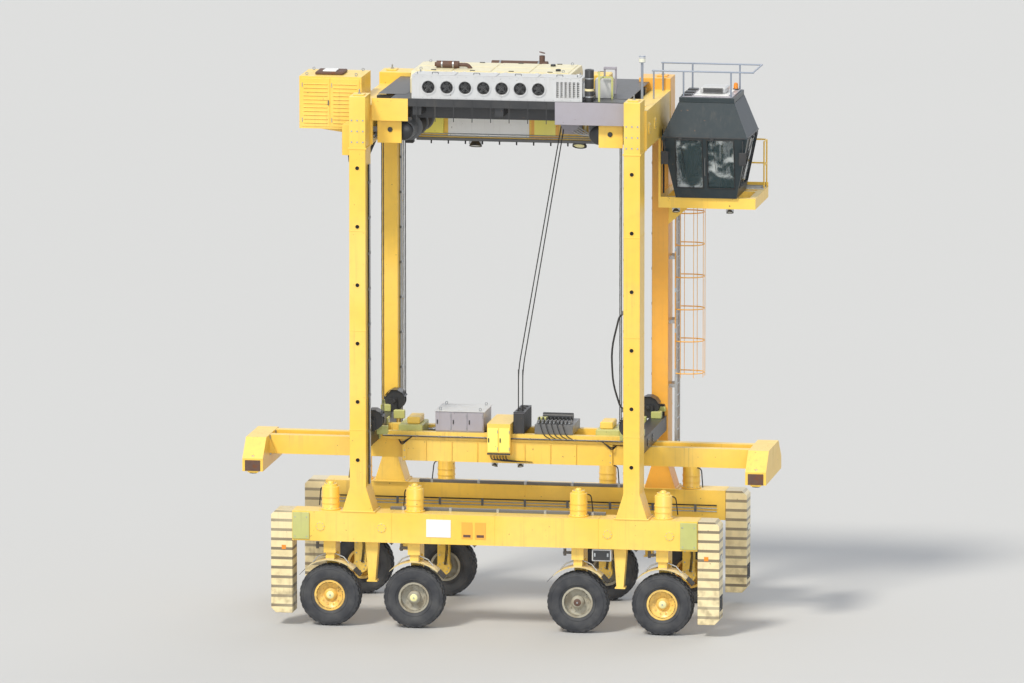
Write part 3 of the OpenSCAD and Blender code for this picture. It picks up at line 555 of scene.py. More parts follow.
def rounded(points: Sequence[Place], bend: float, steps: int = 4) -> list[Vector]:
    """Rounds the corners of a line.

    Args:
        points: The line's corners.
        bend: How far from each corner the round begins.
        steps: Points on each round.

    Returns:
        The rounded line.
    """
    line = [Vector(p) for p in points]
    out = [line[0]]
    for before, corner, after in zip(line, line[1:], line[2:]):
        reach = min(bend, 0.48 * (corner - before).length, 0.48 * (after - corner).length)
        start = corner + (before - corner).normalized() * reach
        end = corner + (after - corner).normalized() * reach
        for k in range(steps + 1):
            t = k / steps
            out.append(start * (1 - t) ** 2 + corner * 2 * t * (1 - t) + end * t ** 2)
    out.append(line[-1])
    return out


def corners_of(end: End) -> list[Matrix]:
    """Both corners of one end, as places of a part that is drawn for the front left one."""
    return [Matrix.Diagonal((end.value, side.value, 1, 1)) for side in Side]


def spaced(start: float, end: float, count: int) -> list[float]:
    """Evenly spaced places from start to end, both included."""
    return [start + (end - start) * k / (count - 1) for k in range(count)]


def frame_line(u0: float, u1: float, v0: float, v1: float) -> list[tuple[float, float]]:
    """The corners of an upright frame, closed, as places along and up."""
    return [(u0, v0), (u1, v0), (u1, v1), (u0, v1), (u0, v0)]


@dataclass
class Piece:
    """One new piece: parts that are shaped with bmesh operators and joined in one mesh."""

    name: str
    finish: str = "yellow"
    finishes: dict[str, int] = field(default_factory=dict)

    def __post_init__(self) -> None:
        """Starts with an empty mesh, drawn from the machine's origin."""
        self.mesh = bmesh.new()
        self.at(0, 0, 0).use(self.finish)

    def at(self, x: float, y: float, z: float) -> "Piece":
        """Parts that follow are drawn from this point."""
        self.origin = Matrix.Translation((x, y, z))
        return self

    def use(self, finish: str) -> "Piece":
        """Parts that follow take this finish."""
        self.current = self.finishes.setdefault(finish, len(self.finishes))
        return self

    def part(self, finish: str = "yellow") -> "Piece":
        """A part that is drawn once and then taken in at one place or more."""
        return Piece(self.name, finish, self.finishes)

    def take(self, part: "Piece", places: Iterable[Matrix]) -> None:
        """Takes a part in at several places, and frees it.

        Args:
            part: The part.
            places: Its places, from where the piece is drawn now.
        """
        for place in places:
            self.absorb(part.mesh.copy(), place)
        part.mesh.free()

    def absorb(self, part: bmesh.types.BMesh, place: Matrix) -> None:
        """Takes another bmesh in with its faces outwards, and frees it.

        Args:
            part: The bmesh.
            place: Its place, from where the piece is drawn now.
        """
        bmesh.ops.transform(part, matrix=self.origin @ place, verts=part.verts)
        if place.determinant() < 0:
            bmesh.ops.reverse_faces(part, faces=part.faces)
        holder = bpy.data.meshes.new("part")
        part.to_mesh(holder)
        part.free()
        self.mesh.from_mesh(holder)
        bpy.data.meshes.remove(holder)

    def added(self, make: Callable[[bmesh.types.BMesh], object], place: Matrix = HERE) -> None:
        """Makes a part in a mesh of its own, gives it the current finish and takes it in.

        Args:
            make: Draws the part in the mesh that it is given.
            place: Where the part goes.
        """
        mesh = bmesh.new()
        make(mesh)
        for face in mesh.faces:
            face.material_index = self.current
        self.absorb(mesh, place)

    def slab(self, at: Place, size: Place, bevel: float = 0.006, turn: Matrix = HERE) -> None:
        """Adds a box with softened edges.

        Args:
            at: Its middle.
            size: Its three lengths.
            bevel: Width of the bevel, 0 for none.
            turn: A rotation about its middle.
        """
        def make(mesh: bmesh.types.BMesh) -> None:
            """Cuts the box and softens its edges."""
            bmesh.ops.create_cube(mesh, size=1, matrix=Matrix.Diagonal((*size, 1)))
            width = min(bevel, 0.3 * min(size))
            if width > 0.0005:
                soften(mesh, width)

        self.added(make, Matrix.Translation(at) @ turn)

    def box(self, low: Place, high: Place, bevel: float = 0.006) -> None:
        """Adds a box with softened edges between two opposite corners."""
        a, b = Vector(low), Vector(high)
        self.slab((a + b) / 2, [abs(s) for s in b - a], bevel)

    def rod(self, start: Place, end: Place, radius: float, sides: int = 12) -> None:
        """Adds a round bar.

        Args:
            start: Middle of one end.
            end: Middle of the other end.
            radius: Its radius.
            sides: Sides of its section.
        """
        a, b = Vector(start), Vector(end)
        self.added(lambda mesh: bmesh.ops.create_cone(
            mesh, cap_ends=True, segments=sides, radius1=radius, radius2=radius, depth=(b - a).length),
            Matrix.Translation((a + b) / 2) @ upright(b - a))

    def ball(self, centre: Place, radius: float, flat: float = 1) -> None:
        """Adds a ball, flattened along Z by the share given."""
        self.added(lambda mesh: bmesh.ops.create_uvsphere(mesh, u_segments=14, v_segments=8, radius=radius),
                   Matrix.Translation(centre) @ Matrix.Diagonal((1, 1, flat, 1)))

    def pipe(self, points: Sequence[Place], radius: float, bend: float = 0, sides: int = 8) -> None:
        """Adds a round pipe through points.

        Args:
            points: The middle line's corners.
            radius: The pipe's radius.
            bend: How far from each corner its round begins, 0 for mitred corners.
            sides: Sides of its section.
        """
        line = rounded(points, bend) if bend else [Vector(p) for p in points]

        def make(mesh: bmesh.types.BMesh) -> None:
            """Extrudes a ring from point to point and closes both ends."""
            way = (line[1] - line[0]).normalized()
            place = Matrix.Translation(line[0]) @ upright(way)
            start = bmesh.ops.create_circle(mesh, cap_ends=True, segments=sides, radius=radius, matrix=place)
            face = start["verts"][0].link_faces[0]
            for i, point in enumerate(line[1:], 1):
                face = grown(mesh, face, i == 1)
                new_way = (line[i + 1] - point).normalized() if i + 1 < len(line) else way
                middle = (way + new_way).normalized()
                for vert in face.verts:
                    vert.co += way * (point - vert.co).dot(middle) / max(0.2, way.dot(middle))
                way = new_way
            bmesh.ops.recalc_face_normals(mesh, faces=mesh.faces)

        self.added(make)

    def lathe(self, profile: Sequence[Place], centre: Place, axis: Place, steps: int = 28) -> None:
        """Spins a profile about an axis through the centre.

        Args:
            profile: Points of radius and height, a line, or a closed loop that ends where it starts.
            centre: A point on the axis, at height 0.
            axis: The axis.
            steps: Steps of the full turn.
        """
        closed = profile[0] == profile[-1]

        def make(mesh: bmesh.types.BMesh) -> None:
            """Lays the profile down as edges and spins them."""
            verts = [mesh.verts.new((r, 0, h)) for r, h in (profile[:-1] if closed else profile)]
            pairs = list(zip(verts, verts[1:])) + ([(verts[-1], verts[0])] if closed else [])
            edges = [mesh.edges.new(pair) for pair in pairs]
            bmesh.ops.spin(mesh, geom=verts + edges, cent=(0, 0, 0), axis=UP, dvec=(0, 0, 0),
                           angle=2 * math.pi, steps=steps, use_merge=True, use_duplicate=False)
            bmesh.ops.remove_doubles(mesh, verts=mesh.verts, dist=1e-5)
            bmesh.ops.recalc_face_normals(mesh, faces=mesh.faces)

        self.added(make, Matrix.Translation(centre) @ upright(axis))

    def ring(self, centre: Place, axis: Place, radius: float, thick: float, steps: int = 24) -> None:
        """Adds a ring of bar; thick is half the bar's thickness."""
        r, t = radius, thick
        self.lathe([(r - t, 0), (r, t), (r + t, 0), (r, -t), (r - t, 0)], centre, axis, steps)

    def band(self, at: Place, axis: Place, radius: float, width: float, proud: float, steps: int = 32) -> None:
        """Adds a strap round a cylinder of the radius given, and as far inside it as it stands proud."""
        self.lathe(frame_line(radius - proud, radius + proud, -width / 2, width / 2), at, axis, steps)

    def plate(self, outline: Sequence[Place], thick: Place) -> None:
        """Adds a plate.

        Args:
            outline: Its flat outline.
            thick: The way and distance that the outline is extruded.
        """
        def make(mesh: bmesh.types.BMesh) -> None:
            """Fills the outline and extrudes it."""
            face = mesh.faces.new([mesh.verts.new(p) for p in outline])
            far = grown(mesh, face, True)
            bmesh.ops.translate(mesh, vec=thick, verts=far.verts)
            bmesh.ops.recalc_face_normals(mesh, faces=mesh.faces)

        self.added(make)

    def bolt(self, at: Place, axis: Place, size: float = 0.016) -> None:
        """Adds a hexagon head with its washer.

        Args:
            at: Where it is screwed in.
            axis: The way that it stands out.
            size: Half its width.
        """
        way, foot = Vector(axis).normalized() * size, Vector(at)
        self.rod(foot, foot + way * 0.2, size * 1.15, 10)
        self.rod(foot, foot + way * 0.75, size, 6)

    def bolts(self, xs: Place, ys: Place, zs: Place, axis: Place, size: float = 0.016) -> None:
        """Adds a galvanized bolt wherever three rows of places cross."""
        for spot in product(xs, ys, zs):
            self.use("galvanized").bolt(spot, axis, size)

    def eyes(self, xs: Place, ys: Place, z: float, axis: Place, size: float = 0.034) -> None:
        """Adds galvanized lifting eyes wherever two rows of places cross.

        Args:
            xs: Places along the machine.
            ys: Places across it.
            z: Height of their feet.
            axis: The way through their holes.
            size: Height of a hole's middle, nearly.
        """
        for x, y in product(xs, ys):
            foot = Vector((x, y, z))
            self.use("galvanized").rod(foot, foot + UP * 0.5 * size, 0.65 * size)
            self.ring(foot + UP * 1.2 * size, axis, 0.8 * size, 0.22 * size, 16)

    def ring_of_bolts(self, centre: Place, axis: Place, radius: float, count: int,
                      size: float = 0.016) -> None:
        """Adds bolts on a circle.

        Args:
            centre: The circle's centre.
            axis: The way that they stand out.
            radius: The circle's radius.
            count: Number of bolts.
            size: Half a bolt's width.
        """
        way = Vector(axis).normalized()
        aside = way.orthogonal().normalized() * radius
        for k in range(count):
            self.bolt(Vector(centre) + Matrix.Rotation(2 * math.pi * k / count, 3, way) @ aside, way, size)

    def cover(self, at: Place, axis: Place, radius: float, bolts: int = 8, size: float = 0.009) -> None:
        """Adds a bolted round cover over a hand hole, in the current finish.

        Args:
            at: The hole's middle.
            axis: The way that it stands out.
            radius: Its radius.
            bolts: Number of bolts.
            size: Half a bolt's width.
        """
        thick = 0.14 * radius
        self.lathe([(0, thick), (radius * 0.93, thick), (radius, 0.6 * thick), (radius, 0)], at, axis)
        face = Vector(at) + Vector(axis).normalized() * thick
        self.use("galvanized").ring_of_bolts(face, axis, 0.8 * radius, bolts, size)

    def handle(self, at: Place, out: Place, along: Place, length: float = 0.14, rise: float = 0.04,
               radius: float = 0.007) -> None:
        """Adds a bent grab handle.

        Args:
            at: Middle between its feet.
            out: The way that it stands out.
            along: The way from foot to foot.
            length: Distance between its feet.
            rise: How far it stands out.
            radius: Radius of its bar.
        """
        foot, reach, lift = Vector(at), Vector(along) * length / 2, Vector(out) * rise
        line = [foot - reach, foot - reach + lift, foot + reach + lift, foot + reach]
        self.pipe(line, radius, 0.4 * rise)

    def conduit(self, start: Place, end: Place, across: Place, count: int, pitch: float, radius: float,
                clamps: int) -> None:
        """Adds a run of parallel pipes with clamps.

        Args:
            start: Where the first pipe starts.
            end: Where the first pipe ends.
            across: The way from the first pipe to the next one.
            count: Number of pipes.
            pitch: Distance between pipes.
            radius: Radius of a pipe.
            clamps: Number of clamps.
        """
        a, b, step = Vector(start), Vector(end), Vector(across) * pitch
        for k in range(count):
            self.use("hose" if k == count - 1 else "galvanized").rod(a + step * k, b + step * k, radius, 8)
        middle = step * (count - 1) / 2
        way = (b - a).normalized()
        size = [2.4 * radius + abs(s) * (count - 1) + abs(w) * 0.02 for s, w in zip(step, way)]
        for k in range(clamps):
            self.use("grey").slab(a + middle + (b - a) * (k + 0.5) / clamps, size, 0.004)

    def locker_door(self, width: float, height: float, thick: float = 0.014) -> None:
        """Adds a cabinet door at the origin, facing +Y, with hinges and a handle.

        Args:
            width: Its width.
            height: Its height.
            thick: Its thickness.
        """
        self.slab((0, thick / 2, 0), (width, thick, height), 0.005)
        x = -0.47 * width
        for z in (-0.35 * height, 0.35 * height):
            self.use("galvanized").rod((x, thick, z - 0.035), (x, thick, z + 0.035), 0.009, 10)
        self.use("black").slab((0.4 * width, thick + 0.01, 0), (0.024, 0.02, 0.1), 0.005)

    def louvres(self, at: Place, size: Place, heights: Iterable[float], lean: float) -> None:
        """Adds leaning blades, one above the other, without bevels."""
        for z in heights:
            self.slab((at[0], at[1], z), size, 0, turned(lean, "X"))

    def grille(self, width: float, height: float, blades: int, frame: str) -> None:
        """Adds a louvred grille at the origin, facing +Y, over a near-black sheet of painted shade.

        Args:
            width: Its width inside the frame.
            height: Its height inside the frame.
            blades: Number of blades.
            frame: The finish of blades and frame.
        """
        # A near-black sheet behind the blades: painted shade of the grille's inside.
        self.use("painted_hole_shade").slab((0, 0, 0), (width, 0.004, height), 0)
        heights = [height * ((k + 0.5) / blades - 0.5) for k in range(blades)]
        self.use(frame).louvres((0, 0.009), (width, 0.024, 0.004), heights, -35)
        for sign in (-1, 1):
            self.slab((0, 0.006, sign * (height / 2 + 0.01)), (width + 0.04, 0.024, 0.02), 0.003)
            self.slab((sign * (width / 2 + 0.01), 0.006, 0), (0.02, 0.024, height), 0.003)

    def floodlight(self, top: Place, way: Place, size: float = 0.15) -> None:
        """Adds a work lamp on its bracket.

        Args:
            top: Where its bracket is fixed.
            way: Where it shines.
            size: Its radius.
        """
        body = Vector(top) - UP * 1.1 * size
        self.use("galvanized").slab(body + UP * 0.65 * size, (2.1 * size, 0.024, 0.9 * size), 0.004)
        bowl = [(0, -0.8), (0.55, -0.75), (0.95, -0.1), (1, 0), (1, 0.12), (0.88, 0.12), (0.86, 0)]
        glass = [(0, 0.06), (0.6, 0.05), (0.87, 0), (0, -0.01)]
        self.use("black").lathe([(r * size, h * size) for r, h in bowl], body, way, 24)
        self.use("lens").lathe([(r * size, h * size) for r, h in glass], body, way, 24)

    def done(self, body: str, slot: str, *replaces: str) -> bpy.types.Object:
        """Finishes the piece.

        Args:
            body: The frame body that it rides on.
            slot: The record's material slot; not used.
            replaces: Frame nodes that it stands for.

        Returns:
            The finished object, at the origin.
        """
        for face in self.mesh.faces:
            face.smooth = True
        for edge in self.mesh.edges:
            edge.smooth = not (edge.is_manifold and edge.calc_face_angle(0) > SHARP_ANGLE)
        data = bpy.data.meshes.new(self.name)
        self.mesh.to_mesh(data)
        self.mesh.free()
        for finish in self.finishes:
            data.materials.append(material(finish))
        made = bpy.data.objects.new(self.name, data)
        bpy.context.scene.collection.objects.link(made)
        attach(made, body)
        if replaces:
            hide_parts(*replaces)
        LOG.info("%s: %d faces on %s", self.name, len(data.polygons), body)
        return made


def soften(mesh: bmesh.types.BMesh, width: float) -> None:
    """Bevels all the edges of a mesh."""
    bmesh.ops.bevel(mesh, geom=list(mesh.edges), offset=width, offset_type="OFFSET", affect="EDGES",
                    segments=1, profile=0.5, material=-1)


def grown(mesh: bmesh.types.BMesh, face: bmesh.types.BMFace, first: bool) -> bmesh.types.BMFace:
    """Extrudes a face where it is, and leaves no wall inside.

    Args:
        mesh: Its mesh.
        face: The face.
        first: Whether the face is an end that stays.

    Returns:
        The new face.
    """
    made = bmesh.ops.extrude_face_region(mesh, geom=[face])["geom"]
    if not first:
        bmesh.ops.delete(mesh, geom=[face], context="FACES_ONLY")
    return next(g for g in made if isinstance(g, bmesh.types.BMFace))


@dataclass
class FrameDress:
    """The finishes of the frame's own nodes, and the soft edges of its plate work."""

    nodes: dict[str, bpy.types.Object]
    edge: float = 0.012

    WHOLE = {
        "bumpers": "stripes", "deck": "black", "port_housing": "light_grey", "engine_hood": "pale",
        "engine": "grey", "exhaust": "rust", "air_cleaner": "black", "hoist_gear": "grey",
        "handrails": "blue_grey", "ladder": "galvanized", "hoist_ropes": "rope",
        # The front left column takes the orange-yellow, a darker copy of the yellow: painted shade of that
        # column.
        "column_front_left": "orange",
        "cab_body": "cab", "cab_door": "cab", "cab_roof": "cab", "cab_windows": "glass", "cab_seat": "cloth",
        "cab_console": "plastic", "lift_frame": "black", "lift_boxes": "lilac_grey",
    }

    def finish_of(self, node: str) -> str:
        """Looks up a node's finish.

        Args:
            node: The frame node's name.

        Returns:
            The finish's short name.
        """
        wheel = "wheel_grey" if node[-1] in "23" else "wheel_yellow"
        kinds = {"wheel": wheel, "tyre": "rubber", "knuckle": "knuckle"}
        return self.WHOLE.get(node) or kinds.get(node.split("_")[0], "yellow")

    def apply(self) -> None:
        """Gives every node its material, and softens the edges of those made of plate."""
        for name, node in self.nodes.items():
            node.data.materials.clear()
            node.data.materials.append(material(self.finish_of(name)))
            if not name.startswith(("tyre", "hoist_ropes", "cab_seat")):
                self.soften(node)

    def soften(self, node: bpy.types.Object) -> None:
        """Welds a node's loose triangles and bevels its sharp edges, as modifiers.

        Args:
            node: The node.
        """
        node.modifiers.new("weld", "WELD").merge_threshold = 0.0002
        flat = node.modifiers.new("flat", "DECIMATE")
        flat.decimate_type = "DISSOLVE"
        flat.angle_limit = math.radians(0.4)
        edge = node.modifiers.new("edge", "BEVEL")
        edge.width = self.edge
        edge.segments = 2
        edge.limit_method = "ANGLE"
        edge.angle_limit = math.radians(35)
        edge.use_clamp_overlap = True


@dataclass
class Studio:
    """Camera, floor and lights."""

    azimuth: float = 9.5
    elevation: float = 9
    distance: float = 288
    lens: float = 440
    target: tuple[float, float, float] = (0, 0, 6.35)
    floor_size: float = 900
    floor_colour: Colour = (0.5, 0.5, 0.49)
    sky: tuple[float, float, float, float] = (0.86, 0.91, 1, 1)

    LAMPS = (("key", (-14, -26, 34), 2.7, 12, (1, 0.95, 0.86)),
             ("fill", (6, -30, 5), 0.95, 30, (0.95, 0.97, 1)),
             ("rim", (10, 30, 22), 0.6, 40, (1, 0.98, 0.95)))

    def camera(self) -> None:
        """Places the camera at the photo's viewing angle."""
        a, e = math.radians(self.azimuth), math.radians(self.elevation)
        back = Vector((math.sin(a) * math.cos(e), -math.cos(a) * math.cos(e), math.sin(e)))
        data = bpy.data.cameras.new("camera")
        data.lens = self.lens
        data.clip_start, data.clip_end = 1, 2000
        camera = bpy.data.objects.new("camera", data)
        bpy.context.scene.collection.objects.link(camera)
        camera.location = Vector(self.target) + back * self.distance
        camera.rotation_euler = (-back).to_track_quat("-Z", "Y").to_euler()
        bpy.context.scene.camera = camera

    def floor(self) -> None:
        """Lays the pale floor."""
        mesh = bmesh.new()
        bmesh.ops.create_grid(mesh, x_segments=1, y_segments=1, size=self.floor_size / 2)
        data = bpy.data.meshes.new("floor")
        mesh.to_mesh(data)
        mesh.free()
        graph = Graph("floor")
        share = graph.span(graph.noise(0.05, 3), 0.3, 0.7, (0, 0.05))
        colour = graph.mix(share, self.floor_colour, tuple(0.9 * c for c in self.floor_colour))
        data.materials.append(graph.dress(base_color=colour, roughness=0.85))
        floor = bpy.data.objects.new("floor", data)
        bpy.context.scene.collection.objects.link(floor)

    def lamps(self) -> None:
        """Hangs the soft lamps."""
        for name, source, strength, angle, colour in self.LAMPS:
            data = bpy.data.lights.new(name, "SUN")
            data.energy = strength
            data.angle = math.radians(angle)
            data.color = colour
            lamp = bpy.data.objects.new(name, data)
            lamp.rotation_euler = Vector(source).to_track_quat("Z", "Y").to_euler()
            bpy.context.scene.collection.objects.link(lamp)

    def build(self) -> None:
        """Makes the whole studio."""
        self.camera()
        self.floor()
        self.lamps()
        world = bpy.data.worlds.new("surround")
        bpy.context.scene.world = world
        world.use_nodes = True
        background = world.node_tree.nodes["Background"]
        background.inputs["Color"].default_value = self.sky
        background.inputs["Strength"].default_value = 0.72
        bpy.context.scene.view_settings.view_transform = "Standard"


@dataclass
class AtWheel(Piece):
    """A piece at one wheel; its name ends with the wheel's."""

    @property
    def wheel(self) -> str:
        """The wheel's side and number."""
        return self.name[-2:]

    @property
    def side(self) -> Side:
        """The side that the wheel is on."""
        return Side.LEFT if self.wheel[0] == "l" else Side.RIGHT

    def middle(self, node: str) -> Vector:
        """The middle of this wheel's frame node of the kind given."""
        low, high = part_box(f"{node}_{self.wheel}")
        return (low + high) / 2


@dataclass
class Tyre(AtWheel):
    """An earthmover tyre with a block tread."""

    finish: str = "rubber"
    blocks: int = 30
    groove: float = 0.028

    ROWS = ((0.14, 0.24, 0), (0.47, 0.3, 0.5), (0.8, 0.26, 0))

    def build(self) -> None:
        """Makes the tyre in place of its frame node."""
        low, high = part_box(f"tyre_{self.wheel}")
        self.radius, self.half = (high.z - low.z) / 2, (high.y - low.y) / 2
        self.at(*self.middle("tyre")).casing(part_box(f"wheel_{self.wheel}")[1].z - self.radius - low.z - 0.025)
        for sign in (-1, 1):
            for share in (0.6, 0.86):
                self.ring(ASIDE * sign * 0.95 * self.half, ASIDE, share * self.radius, 0.008, 60)
            for row in self.ROWS:
                self.row(sign, *row)
        self.done(f"wheel_{self.wheel}", "tyre_rubber", f"tyre_{self.wheel}")

    def casing(self, seat: float) -> None:
        """Spins the tyre's section.

        Args:
            seat: The radius that its beads sit on.
        """
        r, half = self.radius, self.half
        side = [(seat, 0.155), (seat + 0.03, 0.165), (seat + 0.055, 0.185), (0.62 * r, 0.96 * half),
                (0.72 * r, half), (0.82 * r, 0.985 * half), (0.9 * r, 0.93 * half), (0.945 * r, 0.86 * half),
                (r - self.groove, 0.78 * half)]
        self.lathe([*side, *((u, -v) for u, v in reversed(side)), side[0]], (0, 0, 0), ASIDE, 60)

    def row(self, sign: int, across: float, width: float, shift: float) -> None:
        """Sets one row of blocks round the tyre.

        Args:
            sign: Which half of the tread, -1 or 1.
            across: The row's middle, as a share of the half width.
            width: Width of its blocks, as a share of the half width.
            shift: How far it is turned, in blocks.
        """
        size = (1.32 * math.pi / self.blocks * self.radius, width * self.half, self.groove + 0.012)
        outer = across > 0.7
        block = self.part("rubber")

        def make(mesh: bmesh.types.BMesh) -> None:
            """Cuts a block that narrows outwards; the outermost ones slope to the side."""
            bmesh.ops.create_cube(mesh, size=1, matrix=Matrix.Diagonal((*size, 1)))
            for vert in mesh.verts:
                if vert.co.z > 0:
                    vert.co.x *= 0.86
                    vert.co.y *= 0.9
                    vert.co.z -= 0.014 if outer and vert.co.y * sign > 0 else 0

        rise = self.radius - size[2] / 2 - (0.0135 if outer else 0.0015)
        block.added(make, Matrix.Translation((0, sign * across * self.half, rise)))
        start = shift + (0.25 if sign > 0 else 0)
        self.take(block, [turned((k + start) * 360 / self.blocks, "Y") for k in range(self.blocks)])


@dataclass
class WheelTrim(AtWheel):
    """What is bolted to a wheel: lock ring, hub cap, its bolts and the valve."""

    driven_hub: float = 0.18
    plain_hub: float = 0.11

    def build(self) -> None:
        """Makes the trim, drawn for a left wheel."""
        driven = self.wheel[1] in "23"
        trim = self.part("grey" if driven else "rust")
        trim.band((0, 0.168, 0), ASIDE, 0.306, 0.014, 0.006, 40)
        trim.at(0, self.driven_hub if driven else self.plain_hub, 0)
        trim.use("rust" if self.wheel[1] == "2" else "hub_cap")
        trim.lathe([(0, 0.022), (0.06, 0.02), (0.085, 0.006), (0.088, -0.004)], (0, 0, 0), ASIDE, 24)
        trim.use("galvanized").ring_of_bolts((0, 0, 0), ASIDE, 0.074, 6, 0.009)
        trim.rod((0, 0.018, 0), (0, 0.036, 0), 0.02, 6)
        valve = [(0.2, 0.08, 0.17), (0.235, 0.125, 0.2), (0.25, 0.165, 0.212)]
        trim.at(0, 0, 0).use("hose").pipe(valve, 0.007)
        middle = self.middle("wheel")
        self.at(middle.x, self.side.value * WHEEL_Y, middle.z)
        self.take(trim, [Matrix.Diagonal((1, self.side.value, 1, 1))])
        self.done(f"wheel_{self.wheel}", "yellow_paint")


@dataclass
class SteeringTrim(AtWheel):
    """What a steering knuckle carries: mudflaps, guard stays, track rod arm, hoses and bolts."""

    leg_y: float = 1.695
    half: float = 0.215

    def build(self) -> None:
        """Makes the knuckle's dress, drawn for a left wheel over the origin."""
        axle = self.middle("tyre")
        trim = self.part("galvanized").at(0, self.leg_y, axle.z)
        trim.bolts((-0.09, 0.09), (0,), (0.3, 0.55, 0.8), -ASIDE)
        trim.ring_of_bolts((0, 0, 0), -ASIDE, 0.12, 8, 0.013)
        trim.use("grey").box((-0.42, 0.02, 1.03), (-0.12, 0.08, 1.09))
        trim.rod((-0.38, 0.05, 0.99), (-0.38, 0.05, 1.15), 0.035)
        for x in (0.03, 0.06):
            trim.use("hose").pipe([(x, -0.02, 0.08), (x + 0.05, -0.04, 0.5), (x, -0.03, 0.79),
                                   (x + 0.07, -0.005, 1.22)], 0.011, 0.12)
        trim.at(0, WHEEL_Y, 0)
        for sign in (-1, 1):
            flap = [(sign * x, y * self.half, z) for x, y, z in
                    ((0.552, -1, 1.322), (0.552, 1, 1.322), (0.698, 1, 1.172), (0.698, -1, 1.172))]
            trim.use("hose").plate(flap, (sign * 0.006, 0, 0.006))
            stay = [(sign * x, 0, z) for x, z in ((0.1, 1.66), (0.3, 1.58), (0.42, 1.435))]
            trim.use("galvanized").pipe(stay, 0.016)
        self.at(axle.x, 0, 0).take(trim, [Matrix.Diagonal((1, self.side.value, 1, 1))])
        self.done(f"steering_{self.wheel}", "machine_grey_paint")


@dataclass
class BeamTrim(Piece):
    """What is fixed to the side beams and the suspension pots, drawn for the left one."""

    name: str = "beam_trim"
    height: float = 0.69
    axles: tuple[float, float] = (1.9, 3.86)

    def build(self) -> None:
        """Makes the dress of both beams."""
        _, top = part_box("side_beam_left")
        beam = self.part().at(0, top.y, top.z - self.height)
        for x in (-2.4, 0, 2.4):
            beam.box((x - 0.012, -0.628, 0.01), (x + 0.012, 0.008, 0.698), 0.003)
        beam.use("white").box((-1.58, 0, 0.16), (-1.01, 0.012, 0.57), 0.004)
        for x in (-0.76, -0.45):
            beam.use("orange").box((x, 0, 0.14), (x + 0.25, 0.01, 0.53), 0.003)
            beam.use("rust").box((x + 0.04, 0.01, 0.18), (x + 0.21, 0.014, 0.24), 0)
        beam.use("light_grey").box((2.25, -0.29, -0.3), (2.7, -0.05, -0.015), 0.015)
        beam.use("black").box((2.28, -0.05, -0.27), (2.67, -0.042, -0.05), 0.004)
        for x in (2.32, 2.62):
            beam.use("galvanized").box((x - 0.02, -0.05, -0.19), (x + 0.02, -0.03, -0.11), 0.003)
        beam.use("grey").box((-2.5, -0.58, 0.69), (2.5, -0.47, 0.76), 0.008)
        for x in spaced(-2.2, 2.2, 5):
            beam.use("galvanized").box((x - 0.03, -0.59, 0.69), (x + 0.03, -0.46, 0.77), 0.004)
        beam.conduit((-4.5, -0.638, 0.2), (4.5, -0.638, 0.2), UP, 3, 0.07, 0.014, 9)
        self.take(beam, BOTH_SIDES)
        self.ends(top)
        self.done("chassis", "yellow_paint")

    def ends(self, top: Vector) -> None:
        """Adds what comes at both ends: foot plates, end boxes, hand holes and the pots' details.

        Args:
            top: The beam's upper corner.
        """
        end = self.part().at(0, top.y, top.z)
        end.box((2.76, -0.7, 0), (3.58, 0.02, 0.03))
        end.bolts(spaced(2.79, 3.55, 5), (-0.66, -0.02), (0.03,), UP, 0.014)
        end.use("green_grey").box((4.3, 0, -0.65), (4.69, 0.035, -0.03), 0.008)
        end.bolts((4.36, 4.63), (0.035,), (-0.59, -0.14), ASIDE, 0.012)
        for x in (2.62, 4.05):
            end.use("yellow").cover((x, 0, -0.35), ASIDE, 0.11)
        for x in self.axles:
            end.at(x, WHEEL_Y, top.z).use("galvanized").ring_of_bolts((0, 0, 0.04), UP, 0.214, 12, 0.012)
            end.ring_of_bolts((0, 0, 0.6), UP, 0.12, 8, 0.012)
            end.use("yellow").lathe([(0, 0.05), (0.05, 0.05), (0.07, 0.03), (0.08, 0)], (0, 0, 0.6), UP, 20)
            for z in (0.16, 0.3):
                end.band((0, 0, z), UP, 0.203, 0.024, 0.008)
            end.use("hose").pipe([(0.1, -0.09, 0.5), (0.26, -0.16, 0.48), (0.3, -0.22, 0.05)], 0.014, 0.1)
        self.take(end, FOUR_CORNERS)


@dataclass
class BumperTrim(Piece):
    """Rubber buffers, reflectors and side lamps on the bumper posts."""

    name: str = "bumper_trim"

    def build(self) -> None:
        """Makes the dress of all four posts, drawn for the front left one."""
        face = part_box("bumpers")[1].x
        post = self.part("hose").at(face, 0, 0)
        post.box((-0.02, 1.95, 0.6), (0.01, 2.33, 0.95), 0.008)
        post.bolts((0.01,), (2, 2.28), (0.66, 0.89), ALONG, 0.012)
        post.use("amber_lens").box((-0.35, 2.422, 1.78), (-0.25, 2.438, 1.88), 0.003)
        post.use("grey").box((-0.02, 2, 1.72), (0.006, 2.28, 1.9), 0.004)
        self.take(post, FOUR_CORNERS)
        for end, lens in ((End.FRONT, "lens"), (End.REAR, "red_lens")):
            lamp = self.part(lens).at(face, 0, 0)
            lamp.box((0, 2.03, 1.75), (0.012, 2.25, 1.87), 0.004)
            self.take(lamp, corners_of(end))
        self.done("chassis", "striped_paint")


